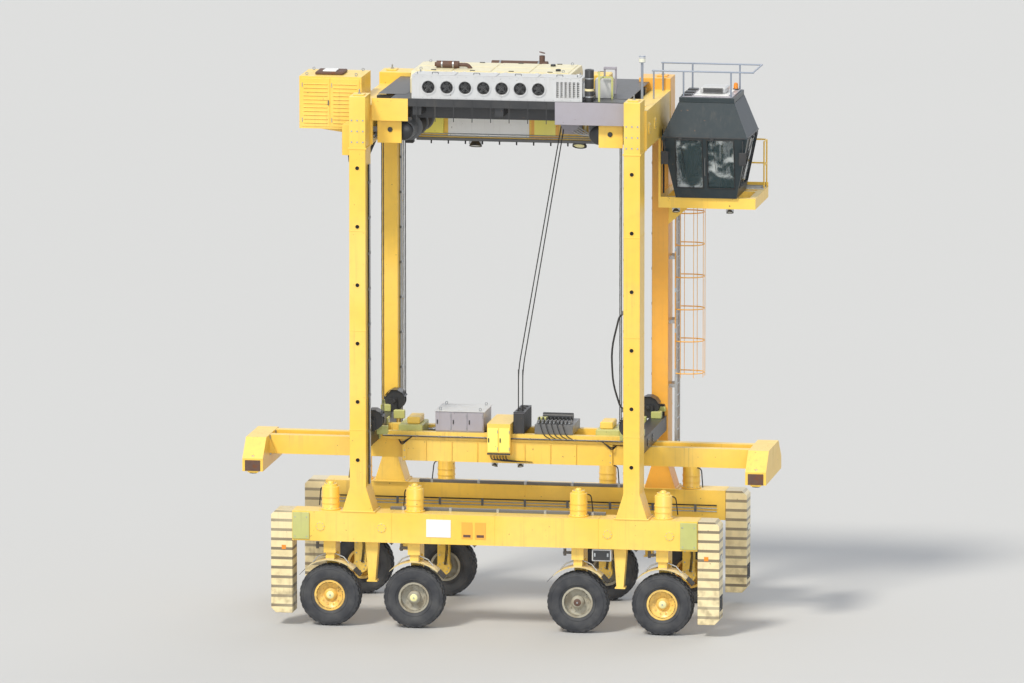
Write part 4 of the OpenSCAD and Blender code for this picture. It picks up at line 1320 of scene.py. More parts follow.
@dataclass
class ColumnTrim(Piece):
    """What runs up the columns: pipes, clamps, holes, seams, bolts and eyes, drawn for the front left one."""

    name: str = "column_trim"

    def build(self) -> None:
        """Makes the dress of all four columns and the hose on the near front one."""
        # The front left column's dress takes the orange-yellow too: a darker copy of the yellow that paints
        # this column's shade.
        self.take(self.shaft("orange"), [HERE])
        self.take(self.shaft("yellow"), [place for place in FOUR_CORNERS if place != HERE])
        crook = [(0, 0, 7.45), (-0.12, 0, 7.35), (-0.3, 0, 6.6), (-0.26, 0, 5.8), (-0.1, 0, 5.3), (0, 0, 5.2)]
        self.at(2.98, -2.3, 0).use("hose").pipe(crook, 0.022, 0.3)
        for z in (7.45, 5.2):
            self.use("grey").box((-0.06, -0.06, z - 0.04), (0, 0.06, z + 0.04))
        self.done("chassis", "yellow_paint")

    def shaft(self, finish: str) -> Piece:
        """The dress of one column, as a part.

        Args:
            finish: The column's finish.

        Returns:
            The part.
        """
        part = self.part(finish).at(3.17, 2.45, 0)
        for z in (4.6, 6.9, 9.2):
            part.box((-0.196, -0.678, z - 0.01), (0.196, 0.006, z + 0.01), 0.003)
        for z in spaced(3.9, 10.65, 6):
            # Each hole is a near-black disc in a raised rim: painted shade of the hole's inside.
            part.use("painted_hole_shade").lathe([(0, 0.003), (0.045, 0.003), (0.045, 0)], (0, 0, z), ASIDE, 20)
            rim = [(0.045, 0), (0.048, 0.007), (0.058, 0.007), (0.06, 0)]
            part.use(finish).lathe(rim, (0, 0, z), ASIDE, 20)
        part.conduit((-0.215, -0.43, 3.31), (-0.215, -0.43, 10.7), ASIDE, 3, 0.08, 0.017, 9)
        part.use(finish).box((-0.21, -0.66, 11.08), (0.21, 0.012, 11.12), 0.004)
        part.bolts(spaced(-0.13, 0.13, 3), (0,), spaced(11.25, 11.75, 3), ASIDE, 0.018)
        part.use(finish).box((-0.12, -0.45, 12.3), (0.12, -0.15, 12.33))
        part.eyes((0,), (-0.3,), 12.33, ALONG, 0.05)
        return part


@dataclass
class LadderTrim(Piece):
    """The ladder's cage and its cover panels."""

    name: str = "ladder_cage"
    finish: str = "orange"

    def build(self) -> None:
        """Makes hoops, straps and panels."""
        low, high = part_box("ladder")
        self.at(low.x + 0.16, (low.y + high.y) / 2, 0)
        half = ((0, 0.25), (0.12, 0.33), (0.42, 0.3036), (0.62, 0.14))
        hoop = [*((x, -y) for x, y in half), *((x, min(y, 0.26)) for x, y in reversed(half))]
        for z in spaced(5.4, 9.15, 6):
            self.pipe([(x, y, z) for x, y in hoop], 0.014, 0.1, 6)
        for x, y in hoop[1:-1]:
            self.box((x - 0.005, y - 0.02, 5.3), (x + 0.005, y + 0.02, high.z - 0.05), 0.002)
        for z in spaced(5.5, 8.35, 4):
            self.box((-0.02, -0.31, z), (0, -0.19, z + 0.85))
        self.done("chassis", "machine_grey_paint")


@dataclass
class Rope(Piece):
    """Laid ropes."""

    finish: str = "rope"

    def strand(self, foot: Place, length: float, radius: float) -> None:
        """Adds one upright rope: a fluted bar that turns as it rises.

        Args:
            foot: Its lower end.
            length: Its length.
            radius: Its radius.
        """
        steps = int(length / 0.16)

        def make(mesh: bmesh.types.BMesh) -> None:
            """Extrudes a fluted ring up the rope, turning it at each step."""
            ring = bmesh.ops.create_circle(mesh, cap_ends=True, segments=10, radius=radius)["verts"]
            for vert in ring[::2]:
                vert.co *= 0.82
            face = ring[0].link_faces[0]
            for k in range(steps):
                face = grown(mesh, face, k == 0)
                bmesh.ops.translate(mesh, vec=(0, 0, length / steps), verts=face.verts)
                bmesh.ops.rotate(mesh, cent=(0, 0, 0), matrix=Matrix.Rotation(0.6, 3, "Z"), verts=face.verts)
            bmesh.ops.recalc_face_normals(mesh, faces=mesh.faces)

        self.added(make, Matrix.Translation(foot))


@dataclass
class HoistRopes:
    """The falls of the hoist ropes, and their lower ends, which run up with the frame."""

    radius: float = 0.013
    rise: float = 5.3
    overlap: float = 1.42

    def build(self) -> None:
        """Makes both pieces."""
        low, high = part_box("hoist_ropes")
        length = high.z - low.z
        falls, tails = Rope("hoist_rope_falls"), Rope("hoist_rope_tails")
        for x, y in product((low.x + self.radius, high.x - self.radius), (-1.56, -1.34, 1.34, 1.56)):
            falls.strand((x, y, low.z), length, self.radius)
            tails.strand((x, y, low.z), self.overlap, 0.9 * self.radius)
        made = falls.done("chassis", "rope_steel", "hoist_ropes")
        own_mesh(made)
        tails.done("lifting_gear", "rope_steel")


@dataclass
class DrumCoils(Piece):
    """The rope laid on the drums and the leads to the top sheaves, drawn for the front left."""

    name: str = "drum_coils"
    coils: int = 22

    def build(self) -> None:
        """Makes coils and leads at all four corners."""
        part = self.part("rope")
        for k in range(self.coils):
            part.ring((2.25, 0.08 + 0.029 * k, 11.4), ASIDE, 0.264, 0.014, 28)
        for start, end in ((0.3, 1.34), (0.6, 1.56)):
            part.rod((2.3, start, 11.67), (2.545, end, 11.7), 0.011, 6)
        self.take(part, FOUR_CORNERS)
        self.done("chassis", "rope_steel")


@dataclass
class PortHousing(Piece):
    """The housing on the open side of the deck: fans, wire guards, slats, lids, eyes and bolts."""

    name: str = "port_trim"
    face_y: float = -1.82
    ports: int = 7
    bore: float = 0.15
    slots: int = 6

    def build(self) -> None:
        """Makes the housing's dress, drawn from the foot of its face."""
        self.at(0, self.face_y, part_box("port_housing")[0].z)
        self.take(self.port(), [facing((-1.63 + 0.424 * k, 0, 0.27), Way.RIGHT) for k in range(self.ports)])
        self.take(self.slot(), [facing((1.355 + 0.095 * k, 0, 0.27), Way.RIGHT) for k in range(self.slots)])
        self.lids()
        self.use("light_grey").box((1.92, 0.1, 0.1), (2.01, 0.5, 0.42), 0.012)
        for y in spaced(0.17, 0.425, 4):
            self.use("black").rod((1.965, y, 0.1), (1.965, y, 0.06), 0.016, 8)
            self.pipe([(1.965, y, 0.07), (1.965, y, 0.035), (2.165, y + 0.03, 0.02)], 0.01, 0.02, 6)
        self.done("chassis", "light_grey_paint")

    def port(self) -> Piece:
        """Draws one port at the origin, facing +Y: inner ring, fan, guard and bolts.

        Returns:
            The port, as a part.
        """
        r, back = self.bore, -0.054
        part = self.part("light_grey")
        part.lathe([(r - 0.005, -0.03), (r - 0.005, 0.02), (r + 0.002, 0.024), (r + 0.002, -0.03),
                    (r - 0.005, -0.03)], (0, 0, 0), ASIDE, 36)
        # A near-black disc at the back of the bore: painted shade inside the housing.
        part.use("painted_hole_shade").rod((0, back - 0.004, 0), (0, back, 0), r - 0.001, 32)
        part.use("black").rod((0, back, 0), (0, back + 0.03, 0), 0.035, 14)
        blade = part.part("black").at(0, 0, 0.08)
        blade.slab((0, 0, 0), (0.07, 0.004, 0.1), 0)
        part.at(0, back + 0.016, 0).take(blade, [turned(72 * k, "Y") @ turned(24, "Z") for k in range(5)])
        part.at(0, 0, 0).use("grey")
        for radius in (0.05, 0.09, 0.125):
            part.ring((0, 0.004, 0), ASIDE, radius, 0.003, 28)
        for rise in (-1, 1):
            reach = Vector((1, 0, rise)).normalized() * (r - 0.004)
            part.rod(-reach, reach, 0.003, 6)
        part.use("galvanized").ring_of_bolts((0, 0.018, 0), ASIDE, r + 0.014, 8, 0.006)
        return part

    def slot(self) -> Piece:
        """Draws one slot at the origin, facing +Y: slats and an edge.

        Returns:
            The slot, as a part.
        """
        # A near-black sheet behind the slats: painted shade inside the slot.
        part = self.part("painted_hole_shade")
        part.slab((0, -0.055, 0), (0.048, 0.004, 0.36), 0)
        part.use("light_grey").louvres((0, -0.03), (0.048, 0.036, 0.005), spaced(-0.1584, 0.1584, 8), -35)
        for x in (-0.031, 0.031):
            part.slab((x, 0.003, 0), (0.012, 0.006, 0.384), 0.002)
        return part

    def lids(self) -> None:
        """Adds lids with handles and hinges, bolts along the face and eyes at the corners."""
        for x in spaced(-1.49, 1.39, 4):
            self.use("light_grey").box((x - 0.46, 0.05, 0.54), (x + 0.46, 0.55, 0.558))
            self.use("black").handle((x, 0.12, 0.558), UP, ALONG)
            for hinge in (x - 0.36, x + 0.36):
                self.use("galvanized").rod((hinge - 0.04, 0.55, 0.558), (hinge + 0.04, 0.55, 0.558), 0.01, 10)
        self.bolts(spaced(-1.96, 1.86, 20), (0,), (0.03, 0.51), -ASIDE, 0.008)
        self.eyes((-1.9, 1.8), (0.1, 0.5), 0.54, ALONG)


@dataclass
class EngineHood(Piece):
    """Louvres, lids, catches, caps and eyes of the engine hood, and what is on its exhaust."""

    name: str = "hood_trim"

    def build(self) -> None:
        """Makes the hood's dress, drawn from its top."""
        low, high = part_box("engine_hood")
        self.at(0, 0, high.z)
        bays = spaced(-1.72, 0.98, 4)
        grille = self.part()
        grille.grille(0.72, 0.25, 9, "pale")
        self.take(grille, [facing((x, y, -0.315), way) for x in bays
                           for y, way in ((high.y, Way.LEFT), (low.y, Way.RIGHT))])
        for x in bays:
            self.use("pale").box((x - 0.4, -0.75, 0), (x + 0.44, -0.05, 0.014), 0.005)
            self.box((x - 0.4, 0, 0), (x + 0.44, 0.71, 0.014), 0.005)
            for y in (-0.71, 0.67):
                self.use("black").slab((x + 0.02, y, 0.02), (0.12, 0.04, 0.02), 0.005)
        self.eyes((-2, 1.3), (-0.67, 0.63), 0, ASIDE)
        for x, y in ((0.9, 0.35), (1.15, -0.45)):
            self.use("black").lathe([(0, 0.05), (0.05, 0.05), (0.06, 0.04), (0.06, 0)], (x, y, 0.01), UP, 20)
        vent = self.part("pale")
        vent.slab((0, 0, -0.02), (1.36, 0.024, 0.3), 0.005)
        # Near-black strips on the vent plate: painted shade of its slits.
        for z in spaced(-0.12, 0.08, 6):
            vent.use("painted_hole_shade").slab((0, 0.012, z), (1.16, 0.006, 0.018), 0)
        self.take(vent, [facing((low.x, 0, -0.29), Way.REAR), facing((high.x, 0, -0.29), Way.FRONT)])
        self.exhaust(high.z)
        self.done("chassis", "pale_yellow_paint")

    def exhaust(self, top: float) -> None:
        """Adds straps, pipes and the rain flap of the two silencers.

        Args:
            top: The hood's top.
        """
        self.at(0, -0.3, top + 0.091)
        for x in (-1.57, -1.31):
            self.use("galvanized").band((x, 0, 0), ALONG, 0.087, 0.03, 0.004, 28)
        self.use("rust").pipe([(-1.2, 0, 0), (-0.98, 0, 0), (-0.9, 0, -0.091)], 0.045, 0.05, 14)
        self.rod((-1.7, 0, 0), (-1.74, 0, 0), 0.05, 16)
        self.at(0, 1.4, 12.5)
        for x in (-0.5, 0.4):
            self.use("galvanized").band((x, 0, 0), ALONG, 0.183, 0.04, 0.004, 36)
        outlet = [(-0.69, 0, 0), (-0.9, 0, 0), (-1, -0.1, 0), (-1, -0.48, -0.02)]
        self.use("rust").pipe(outlet, 0.065, 0.08, 14)
        self.lathe([(0, 0.012), (0.07, 0.012), (0.074, 0), (0, 0)], (0.47, 0, 0.376), (0.25, 0, 1), 20)


@dataclass
class DeckTrim(Piece):
    """What stands on and hangs round the deck: tread plate, fittings, air cleaner, edge and lamps."""

    name: str = "deck_trim"
    finish: str = "tread_plate"

    PLATES = ((-2.91, -2.25, -1.17, 2.17), (1.55, 2.91, -1.17, 2.17), (-2.17, 1.47, 0.98, 1.17),
              (-2.17, 1.47, 1.65, 2.17), (2.05, 2.91, -1.82, -1.25))

    def build(self) -> None:
        """Makes the deck's dress."""
        low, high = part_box("deck")
        self.at(0, 0, high.z)
        for x0, x1, y0, y1 in self.PLATES:
            self.box((x0, y0, 0), (x1, y1, 0.006), 0)
        self.fittings()
        self.cleaner()
        self.at(0, low.y, low.z)
        for x in spaced(-1.9, 1.1, 8):
            self.use("black").box((x - 0.01, -0.006, 0.01), (x + 0.01, 0, 0.52), 0.002)
        for x0, x1, finish in ((low.x, -2.1, "yellow"), (1.3, high.x, "lilac_grey")):
            self.use(finish).box((x0, -0.01, 0.005), (x1, 0, 0.525), 0.003)
        for x in (-0.6, 0.6):
            self.floodlight((x, 3.4, 0), (0, 0.3, -1))
        self.done("chassis", "black_paint")

    def fittings(self) -> None:
        """Adds frames, cooler, bottle, box and hoses between the ported housing and the front crossbeam."""
        for x, y, height in ((2.3, -1.72, 0.7), (2.52, -1.22, 0.52)):
            self.use("green_grey").box((x - 0.022, y - 0.022, 0), (x + 0.022, y + 0.022, height), 0.004)
        self.box((2.28, -1.74, 0.5), (2.32, -1.2, 0.54), 0.004)
        self.box((2.28, -1.24, 0.48), (2.54, -1.2, 0.52), 0.004)
        self.use("light_grey").box((2.12, -1.15, 0), (2.5, -0.75, 0.46), 0.015)
        grille = self.part()
        grille.grille(0.3, 0.3, 7, "grey")
        self.take(grille, [facing((2.12, -0.95, 0.24), Way.REAR)])
        self.use("green_grey").rod((1.85, -0.9, 0), (1.85, -0.9, 0.42), 0.09, 18)
        self.ball((1.85, -0.9, 0.42), 0.09, 0.5)
        self.use("yellow").box((1.75, 0.35, 0), (2.2, 0.9, 0.34), 0.02)
        self.use("black").handle((1.97, 0.62, 0.34), UP, ALONG)
        for x in (2.2, 2.46):
            self.use("lilac_grey").rod((x, -0.3, 0), (x, -0.3, 0.6), 0.022, 8)
        self.box((2.18, -0.34, 0.56), (2.48, -0.26, 0.62))
        for k in range(3):
            y = -0.62 + 0.06 * k
            self.use("hose").pipe([(1.5, y, 0.16), (1.72, y, 0.16 + 0.04 * k), (1.95, y - 0.2, 0.06),
                                   (2.5, y - 0.25, 0.04)], 0.022, 0.12)

    def cleaner(self) -> None:
        """Adds the waist band, straps, rain cap and duct of the air cleaner."""
        low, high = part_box("air_cleaner")
        r = (high.x - low.x) / 2
        self.at(low.x + r, (low.y + high.y) / 2, low.z).use("pale")
        self.band((0, 0, 0.277), UP, r - 0.012, 0.05, 0.014)
        cap = [(0, 0.02), (0.7 * r, 0.018), (r, 0), (r, -0.02), (0.6 * r, -0.02)]
        self.use("black").lathe(cap, (0, 0, 0.73), UP, 32)
        for z in (0.12, 0.54):
            self.use("galvanized").band((0, 0, z), UP, r + 0.001, 0.024, 0.004)
        duct = [(0.02 - r, 0.03, 0.16), (-0.13, 0.25, 0.16), (-0.12, 0.6, 0.2), (-0.4, 0.95, 0.2)]
        self.use("hose").pipe(duct, 0.05, 0.12, 12)


@dataclass
class GirderTrim(Piece):
    """Blank plates, boxes, pipes and lamps on the long girder, and covers and pipes on the crossbeams."""

    name: str = "girder_trim"

    def build(self) -> None:
        """Makes the trim of the girder and the crossbeams."""
        low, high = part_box("top_girder")
        plates = self.part("white")
        plates.slab((-0.86, 0.008, 0), (1.9, 0.016, 0.52), 0.005)
        plates.use("orange").slab((0.46, 0.006, -0.01), (0.64, 0.012, 0.52), 0.004)
        plates.use("bright").slab((0.46, 0.014, -0.01), (0.5, 0.012, 0.4), 0.004)
        plates.bolts((-1.75, -0.86, 0.03), (0.016,), (-0.21, 0.21), ASIDE, 0.01)
        self.at(0, 0, 11.075).take(plates, [Matrix.Translation((0, low.y, 0)) @ BOTH_SIDES[0],
                                            Matrix.Translation((0, high.y, 0))])
        self.at(0, low.y, low.z).use("bright").box((-2.4, -0.14, 0.16), (-1.9, 0, 0.55), 0.015)
        self.use("black").box((-2.8, -0.12, -0.1), (-2.6, 0.06, 0.14), 0.02)
        self.valves()
        self.use("grey").box((-2.55, -0.05, -0.03), (2.55, 0.02, 0.04))
        for x in spaced(-2.2, 2.2, 12):
            self.use("hose").rod((x, -0.04, -0.02), (x, -0.04, -0.1), 0.018, 8)
        for z in (0.08, 0.13):
            self.use("galvanized").rod((-2.6, -0.025, z), (2.6, -0.025, z), 0.012, 8)
        bowl = [(0, -0.1), (0.1, -0.09), (0.17, 0), (0.17, 0.03), (0.15, 0.03)]
        face = [(0, 0.035), (0.1, 0.03), (0.152, 0), (0, -0.01)]
        for finish, profile in (("black", bowl), ("hub_cap", face)):
            self.use(finish).lathe(profile, (1.25, 0.12, -0.09), (0, -0.5, -1), 24)
        self.floodlight((-1.2, 0.2, 0), (0, -0.3, -1))
        self.crossbeams()
        self.done("chassis", "yellow_paint")

    def valves(self) -> None:
        """Adds the grey valve gear and its pale pipes on the girder's near face."""
        self.use("lilac_grey").box((0.86, -0.1, 0.19), (1.35, 0, 0.56), 0.015)
        self.box((1.5, -0.16, 0.25), (2.15, 0, 0.51), 0.015)
        for k in range(4):
            x = 0.95 + 0.1 * k
            self.use("light_grey").pipe([(x, -0.1, 0.41), (x, -0.17, 0.39), (x + 0.3, -0.19, 0.21),
                                         (x + 0.6, -0.17, 0.17), (x + 0.8, -0.1, 0.31)], 0.014, 0.1)
            self.use("grey").slab((1.58 + 0.16 * k, -0.18, 0.38), (0.1, 0.05, 0.12), 0.008)
        self.use("pale").box((1.4, -0.12, 0.21), (1.45, 0, 0.61))

    def crossbeams(self) -> None:
        """Adds hand holes, seams and pipes to both crossbeams."""
        self.at(0, 0, 11.12)
        for x, y in ((3.4, -1.35), (3.4, -0.5), (-3.4, 1.3)):
            self.use("yellow").cover((x, y, 0.45), (x, 0, 0), 0.14)
        part = self.part()
        part.conduit((2.915, -1.7, 0.12), (2.915, 1.7, 0.12), UP, 3, 0.06, 0.014, 7)
        for y in (-1.77, 1.77):
            part.use("yellow").box((2.93, y - 0.012, -0.01), (3.41, y + 0.012, 0.91), 0.004)
        self.take(part, BOTH_ENDS)


@dataclass
class HoistTrim(Piece):
    """Fins, terminal boxes, fan covers and bolts of the hoist motors and sheaves, and the cable reel."""

    name: str = "hoist_trim"

    def build(self) -> None:
        """Makes the dress of both drums, the top sheaves and the reel."""
        drum = self.part("grey").at(2.25, 0, 11.4)
        for y in spaced(-1.44, -1, 12):
            drum.band((0, y, 0), ASIDE, 0.216, 0.012, 0.012, 28)
        drum.box((-0.12, -1.35, 0.2), (0.12, -1.1, 0.31), 0.012)
        drum.use("black").lathe([(0, 0.08), (0.14, 0.07), (0.2, 0.03), (0.21, 0)], (0, -1.5, 0), -ASIDE)
        drum.use("galvanized").ring_of_bolts((0, 0.815, 0), ASIDE, 0.27, 14, 0.013)
        self.take(drum, BOTH_ENDS)
        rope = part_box("hoist_ropes")[1]
        corner = self.part("black").at(rope.x - 0.2283, 1.672, rope.z)
        corner.lathe([(0, 0.03), (0.05, 0.026), (0.06, 0)], (0, 0, 0), ASIDE, 18)
        corner.use("galvanized").ring_of_bolts((0, 0.012, 0), ASIDE, 0.042, 4, 0.008)
        corner.at(0, 0, 0).use("yellow").box((2.28, 1.655, 11.14), (2.84, 1.672, 12.01), 0.005)
        self.take(corner, FOUR_CORNERS)
        self.reel()
        self.done("chassis", "machine_grey_paint")

    def reel(self) -> None:
        """Adds the reel under the deck that pays out the supply cables."""
        self.at(1.4, -0.2, 11.55)
        for y in (-0.12, 0.12):
            self.use("lilac_grey").lathe(frame_line(0.05, 0.24, -0.006, 0.006), (0, y, 0), ASIDE, 36)
            self.box((-0.05, 1.5 * y - 0.012, -0.06), (0.05, 1.5 * y + 0.012, 0.12), 0.004)
        self.rod((0, -0.2, 0), (0, 0.2, 0), 0.04, 16)
        for y in spaced(-0.096, 0.096, 7):
            self.use("hose").ring((0, y, 0), ASIDE, 0.2, 0.016, 32)


@dataclass
class CabinetTrim(Piece):
    """Louvre hoods, hinges, handles and roof fittings of the rear cabinet, and cables of the box beside it."""

    name: str = "cabinet_trim"

    def build(self) -> None:
        """Makes the cabinet's dress."""
        low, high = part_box("rear_cabinet")
        self.take(self.doors(), BOTH_SIDES)
        for z in spaced(11.5, 12.29, 4):
            self.use("yellow").box((low.x - 0.012, -0.48, z - 0.09), (low.x, 0.48, z + 0.09), 0.004)
        self.at(0, 0, high.z).use("rust").box((-4.53, -0.34, 0), (-3.88, 0.28, 0.07), 0.02)
        self.use("white").box((-4.36, -0.3, 0.07), (-4.05, 0.1, 0.1), 0.01)
        self.eyes((-4.7, -3.55), (-0.45, 0.45), 0, ASIDE)
        self.at(-3.56, 0, low.z)
        for y in (-0.48, 0.42):
            self.use("yellow").plate([(0.16, y, 0.48), (-0.94, y, 0.48), (0.16, y, 0.33)], (0, 0.06, 0))
        self.use("grey").box((-0.152, -1.4, 0.05), (-0.14, -0.85, 0.65))
        for y in spaced(-1.35, -0.96, 4):
            self.use("hose").rod((0, y, 0), (0, y, -0.06), 0.02, 10)
            cable = [(0, y, -0.04), (0, y, -0.2), (0.36, y + 0.05, -0.14), (0.56, y + 0.1, 0.32)]
            self.pipe(cable, 0.014, 0.12)
        self.done("chassis", "yellow_paint")

    def doors(self) -> Piece:
        """Draws both doors of the left side: louvre hoods, hinges and handles.

        Returns:
            The doors, as a part.
        """
        part = self.part()
        for x in (-4.4695, -3.7805):
            part.at(x, 0.614, 11.885).use("yellow")
            part.louvres((0, 0.004), (0.561, 0.026, 0.005), spaced(-0.465, 0.435, 11), -32)
            for z in (-0.405, 0.405):
                part.use("galvanized").rod((-0.3105, 0, z - 0.05), (-0.3105, 0, z + 0.05), 0.011, 10)
            part.use("grey").slab((0.3005, 0.012, 0), (0.028, 0.024, 0.12))
        return part


@dataclass
class CabTrim(Piece):
    """What is on the cab, drawn from its shoulder, where the lower walls start to lean in."""

    name: str = "cab_trim"
    shoulder: float = 11.17
    front_x: float = 5.46
    near_lean: float = 0.28 / 1.42
    front_lean: float = 0.29 / 1.42

    def build(self) -> None:
        """Makes the cab's dress."""
        self.at(0, 0, self.shoulder).panes()
        self.roof()
        self.outside()
        self.done("chassis", "black_paint")

    def near(self, x: float, z: float, out: float = 0) -> Vector:
        """A point on the near wall, moved outwards by the distance given."""
        return Vector((x, -self.near_lean * z - out, z))

    def front(self, y: float, z: float, out: float = 0) -> Vector:
        """A point on the front wall, moved outwards by the distance given."""
        return Vector((self.front_x + self.front_lean * z + out, y, z))

    def panes(self) -> None:
        """Adds rubber gaskets round the windows, and wipers."""
        for x in (3.79, 4.52):
            corners = [self.near(u, v, 0.004) for u, v in frame_line(x, x + 0.62, -1.18, -0.04)]
            self.use("hose").pipe(corners, 0.012, 0, 6)
            foot = self.near(x + 0.12, -0.02, 0.03)
            self.use("black").rod(foot, self.near(x + 0.2, -0.78, 0.025), 0.006, 6)
            self.slab(foot, (0.08, 0.05, 0.05))
        corners = [self.front(u, v, 0.004) for u, v in frame_line(0.39, 1.66, -1.18, -0.04)]
        self.use("hose").pipe(corners, 0.012, 0, 6)
        for y in (0.75, 1.3):
            foot = self.front(y, -0.03, 0.03)
            self.use("black").rod(foot, self.front(y - 0.18, -0.64, 0.03), 0.008, 8)
            self.slab(foot, (0.05, 0.09, 0.06))
            blade = self.front(y - 0.16, -0.34, 0.016), self.front(y - 0.19, -1.06, 0.016)
            self.use("hose").rod(*blade, 0.01, 6)

    def roof(self) -> None:
        """Adds the pale panel, the cooler, squares, the beacon and the rain strip."""
        low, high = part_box("cab_roof")
        self.at(0, 0, high.z).use("lilac_grey").box((3.9, 0.29, 0), (5.06, 1.71, 0.012), 0.005)
        self.use("white").box((4.15, 0.5, 0.012), (4.95, 1.5, 0.03), 0.008)
        self.use("light_grey").box((4.25, 0.75, 0.03), (4.85, 1.35, 0.17), 0.03)
        grille = self.part()
        grille.grille(0.42, 0.08, 4, "grey")
        self.take(grille, [facing((4.55, 0.747, 0.1), Way.RIGHT)])
        for y in spaced(0.55, 1.45, 3):
            self.use("black").box((low.x + 0.03, y - 0.12, 0.012), (low.x + 0.26, y + 0.12, 0.045), 0.01)
        self.lathe([(0, 0.04), (0.065, 0.04), (0.07, 0)], (4.95, 1.62, 0), UP, 24)
        beacon = [(0, 0.18), (0.035, 0.17), (0.05, 0.14), (0.055, 0.03), (0, 0.03)]
        self.use("amber_lens").lathe(beacon, (4.95, 1.62, 0), UP, 24)
        self.at(0, 0, self.shoulder).use("black").box((3.52, -0.012, -0.005), (5.41, 0.02, 0.025), 0.004)
        self.box((5.44, 0.1, -0.005), (5.472, 1.74, 0.025), 0.004)

    def outside(self) -> None:
        """Adds mirrors, grab handles and the work lamps under the platform."""
        for x in (3.56, 5.36):
            self.use("black").pipe([(x, 0, -0.05), (x, -0.08, -0.05), (x, -0.08, -0.3)], 0.012, 0.04)
            self.slab((x, -0.085, -0.45), (0.17, 0.03, 0.3), 0.015)
            self.use("screen").slab((x, -0.069, -0.45), (0.15, 0.004, 0.28), 0)
        self.use("grey").handle(self.near(4.465, -0.67), -ASIDE, UP, 0.4, 0.05, 0.009)
        for x in (3.75, 5):
            self.floodlight((x, 0.42, -1.67), (0.1, -0.35, -1), 0.085)


@dataclass
class DoorTrim(Piece):
    """Handle, hangers, gasket and kick plate of the cab's sliding door."""

    name: str = "door_trim"
    finish: str = "galvanized"

    def build(self) -> None:
        """Makes the door's dress, drawn from the lower rear corner of its outer face."""
        low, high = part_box("cab_door")
        self.at(low.x, high.y, low.z).handle((0.06, 0, 0.77), ASIDE, UP, 0.34, 0.035, 0.01)
        for x in (0.12, 0.6):
            self.box((x - 0.03, -0.01, 1.43), (x + 0.03, 0.004, 1.486), 0.004)
            self.bolt((x, 0.004, 1.455), ASIDE, 0.01)
        self.use("hose").pipe([(x, 0, z) for x, z in frame_line(0.11, 0.61, 0.21, 1.38)], 0.009, 0, 6)
        self.use("galvanized").box((0.05, 0, 0.03), (0.67, 0.004, 0.15), 0.002)
        self.done("door", "black_paint")


@dataclass
class CabControls(Piece):
    """Armrests, levers, buttons, steering wheel, screens, pedals and the seat's base."""

    name: str = "cab_controls"
    finish: str = "plastic"

    def build(self) -> None:
        """Makes what the driver works with, drawn from the seat's foot."""
        for side in Side:
            self.armrest(side.value)
        hub, tilt = Vector((0.48, 0, 0.67)), Vector((-0.25, 0, 1)).normalized()
        self.at(*SEAT).use("plastic").rod((0.62, 0, 0), (0.5, 0, 0.62), 0.04, 14)
        self.use("black").ring(hub, tilt, 0.175, 0.013, 32)
        for k in range(3):
            self.rod(hub, hub + Matrix.Rotation(2 * math.pi * k / 3, 3, tilt) @ ASIDE * 0.17, 0.01, 8)
        for y in (-0.3, 0.3):
            self.use("plastic").slab((0.55, y, 0.95), (0.03, 0.26, 0.2), 0.012)
            self.use("screen").slab((0.533, y, 0.95), (0.006, 0.23, 0.17), 0)
            self.use("plastic").rod((0.57, y, 0), (0.56, y, 0.86), 0.018, 10)
        for y in (-0.12, 0.12):
            self.use("galvanized").slab((0.55, y, 0.06), (0.16, 0.1, 0.02), 0.005, turned(-28, "Y"))
        folds = [(0.16 if k % 2 else 0.14, 0.05 * k) for k in range(8)]
        self.use("black").lathe([(0, 0), *folds, (0, 0.36)], (0, 0, 0), UP)
        self.box((-0.34, -0.24, 0.36), (0.26, 0.24, 0.4), 0.012)
        self.done("chassis", "console_plastic")

    def armrest(self, side: int) -> None:
        """Adds a pad, a lever with its boot and a row of buttons on a console's top.

        Args:
            side: The side that the console is on, as the sign of Y.
        """
        x, y, z = SEAT
        self.at(x, y + side * 0.37, z + 0.64).use("black").slab((-0.02, 0, 0.025), (0.36, 0.12, 0.05), 0.02)
        self.use("hose").lathe([(0, 0.075), (0.02, 0.07), (0.035, 0.04), (0.05, 0)], (0.24, 0, 0), UP, 16)
        self.use("plastic").rod((0.24, 0, 0.05), (0.26, 0, 0.14), 0.014, 10)
        self.ball((0.262, 0, 0.16), 0.03, 1.3)
        for k, lens in enumerate(("red_lens", "amber_lens", "lens", "screen", "lens")):
            button = Vector((0.01 + 0.035 * k, side * 0.065, 0))
            self.use(lens).rod(button, button + UP * 0.012, 0.011, 12)


@dataclass
class SeatPad(Piece):
    """A stuffed block of the driver's seat, with bolsters."""

    finish: str = "cloth"

    def build(self, middle: Place, size: Place, fill: float, *replaces: str) -> None:
        """Makes the pad.

        Args:
            middle: Its middle, from the seat's foot.
            size: Its three lengths.
            fill: How full it is stuffed; not used.
            replaces: Frame nodes that it stands for.
        """
        def make(mesh: bmesh.types.BMesh) -> None:
            """Divides a box, rounds its rim and presses the seams beside the bolsters in."""
            bmesh.ops.create_cube(mesh, size=2)
            bmesh.ops.subdivide_edges(mesh, edges=mesh.edges, cuts=11, use_grid_fill=True)
            for vert in mesh.verts:
                p = vert.co
                ball = [c * math.sqrt(max(0, 1 - 0.5 * (d * d + e * e) + d * d * e * e / 3)) for c, d, e in
                        ((p.x, p.y, p.z), (p.y, p.z, p.x), (p.z, p.x, p.y))]
                vert.co = p.lerp(Vector(ball), 0.32)
                vert.co *= 1 - 0.07 * math.exp(-((abs(p.y) - 0.62) / 0.07) ** 2)
            bmesh.ops.smooth_vert(mesh, verts=mesh.verts, factor=0.4, use_axis_x=True, use_axis_y=True,
                                  use_axis_z=True)

        half = Matrix.Diagonal((*(Vector(size) / 2), 1))
        self.at(*SEAT).added(make, Matrix.Translation(middle) @ half)
        self.done("chassis", "seat_fabric", *replaces)


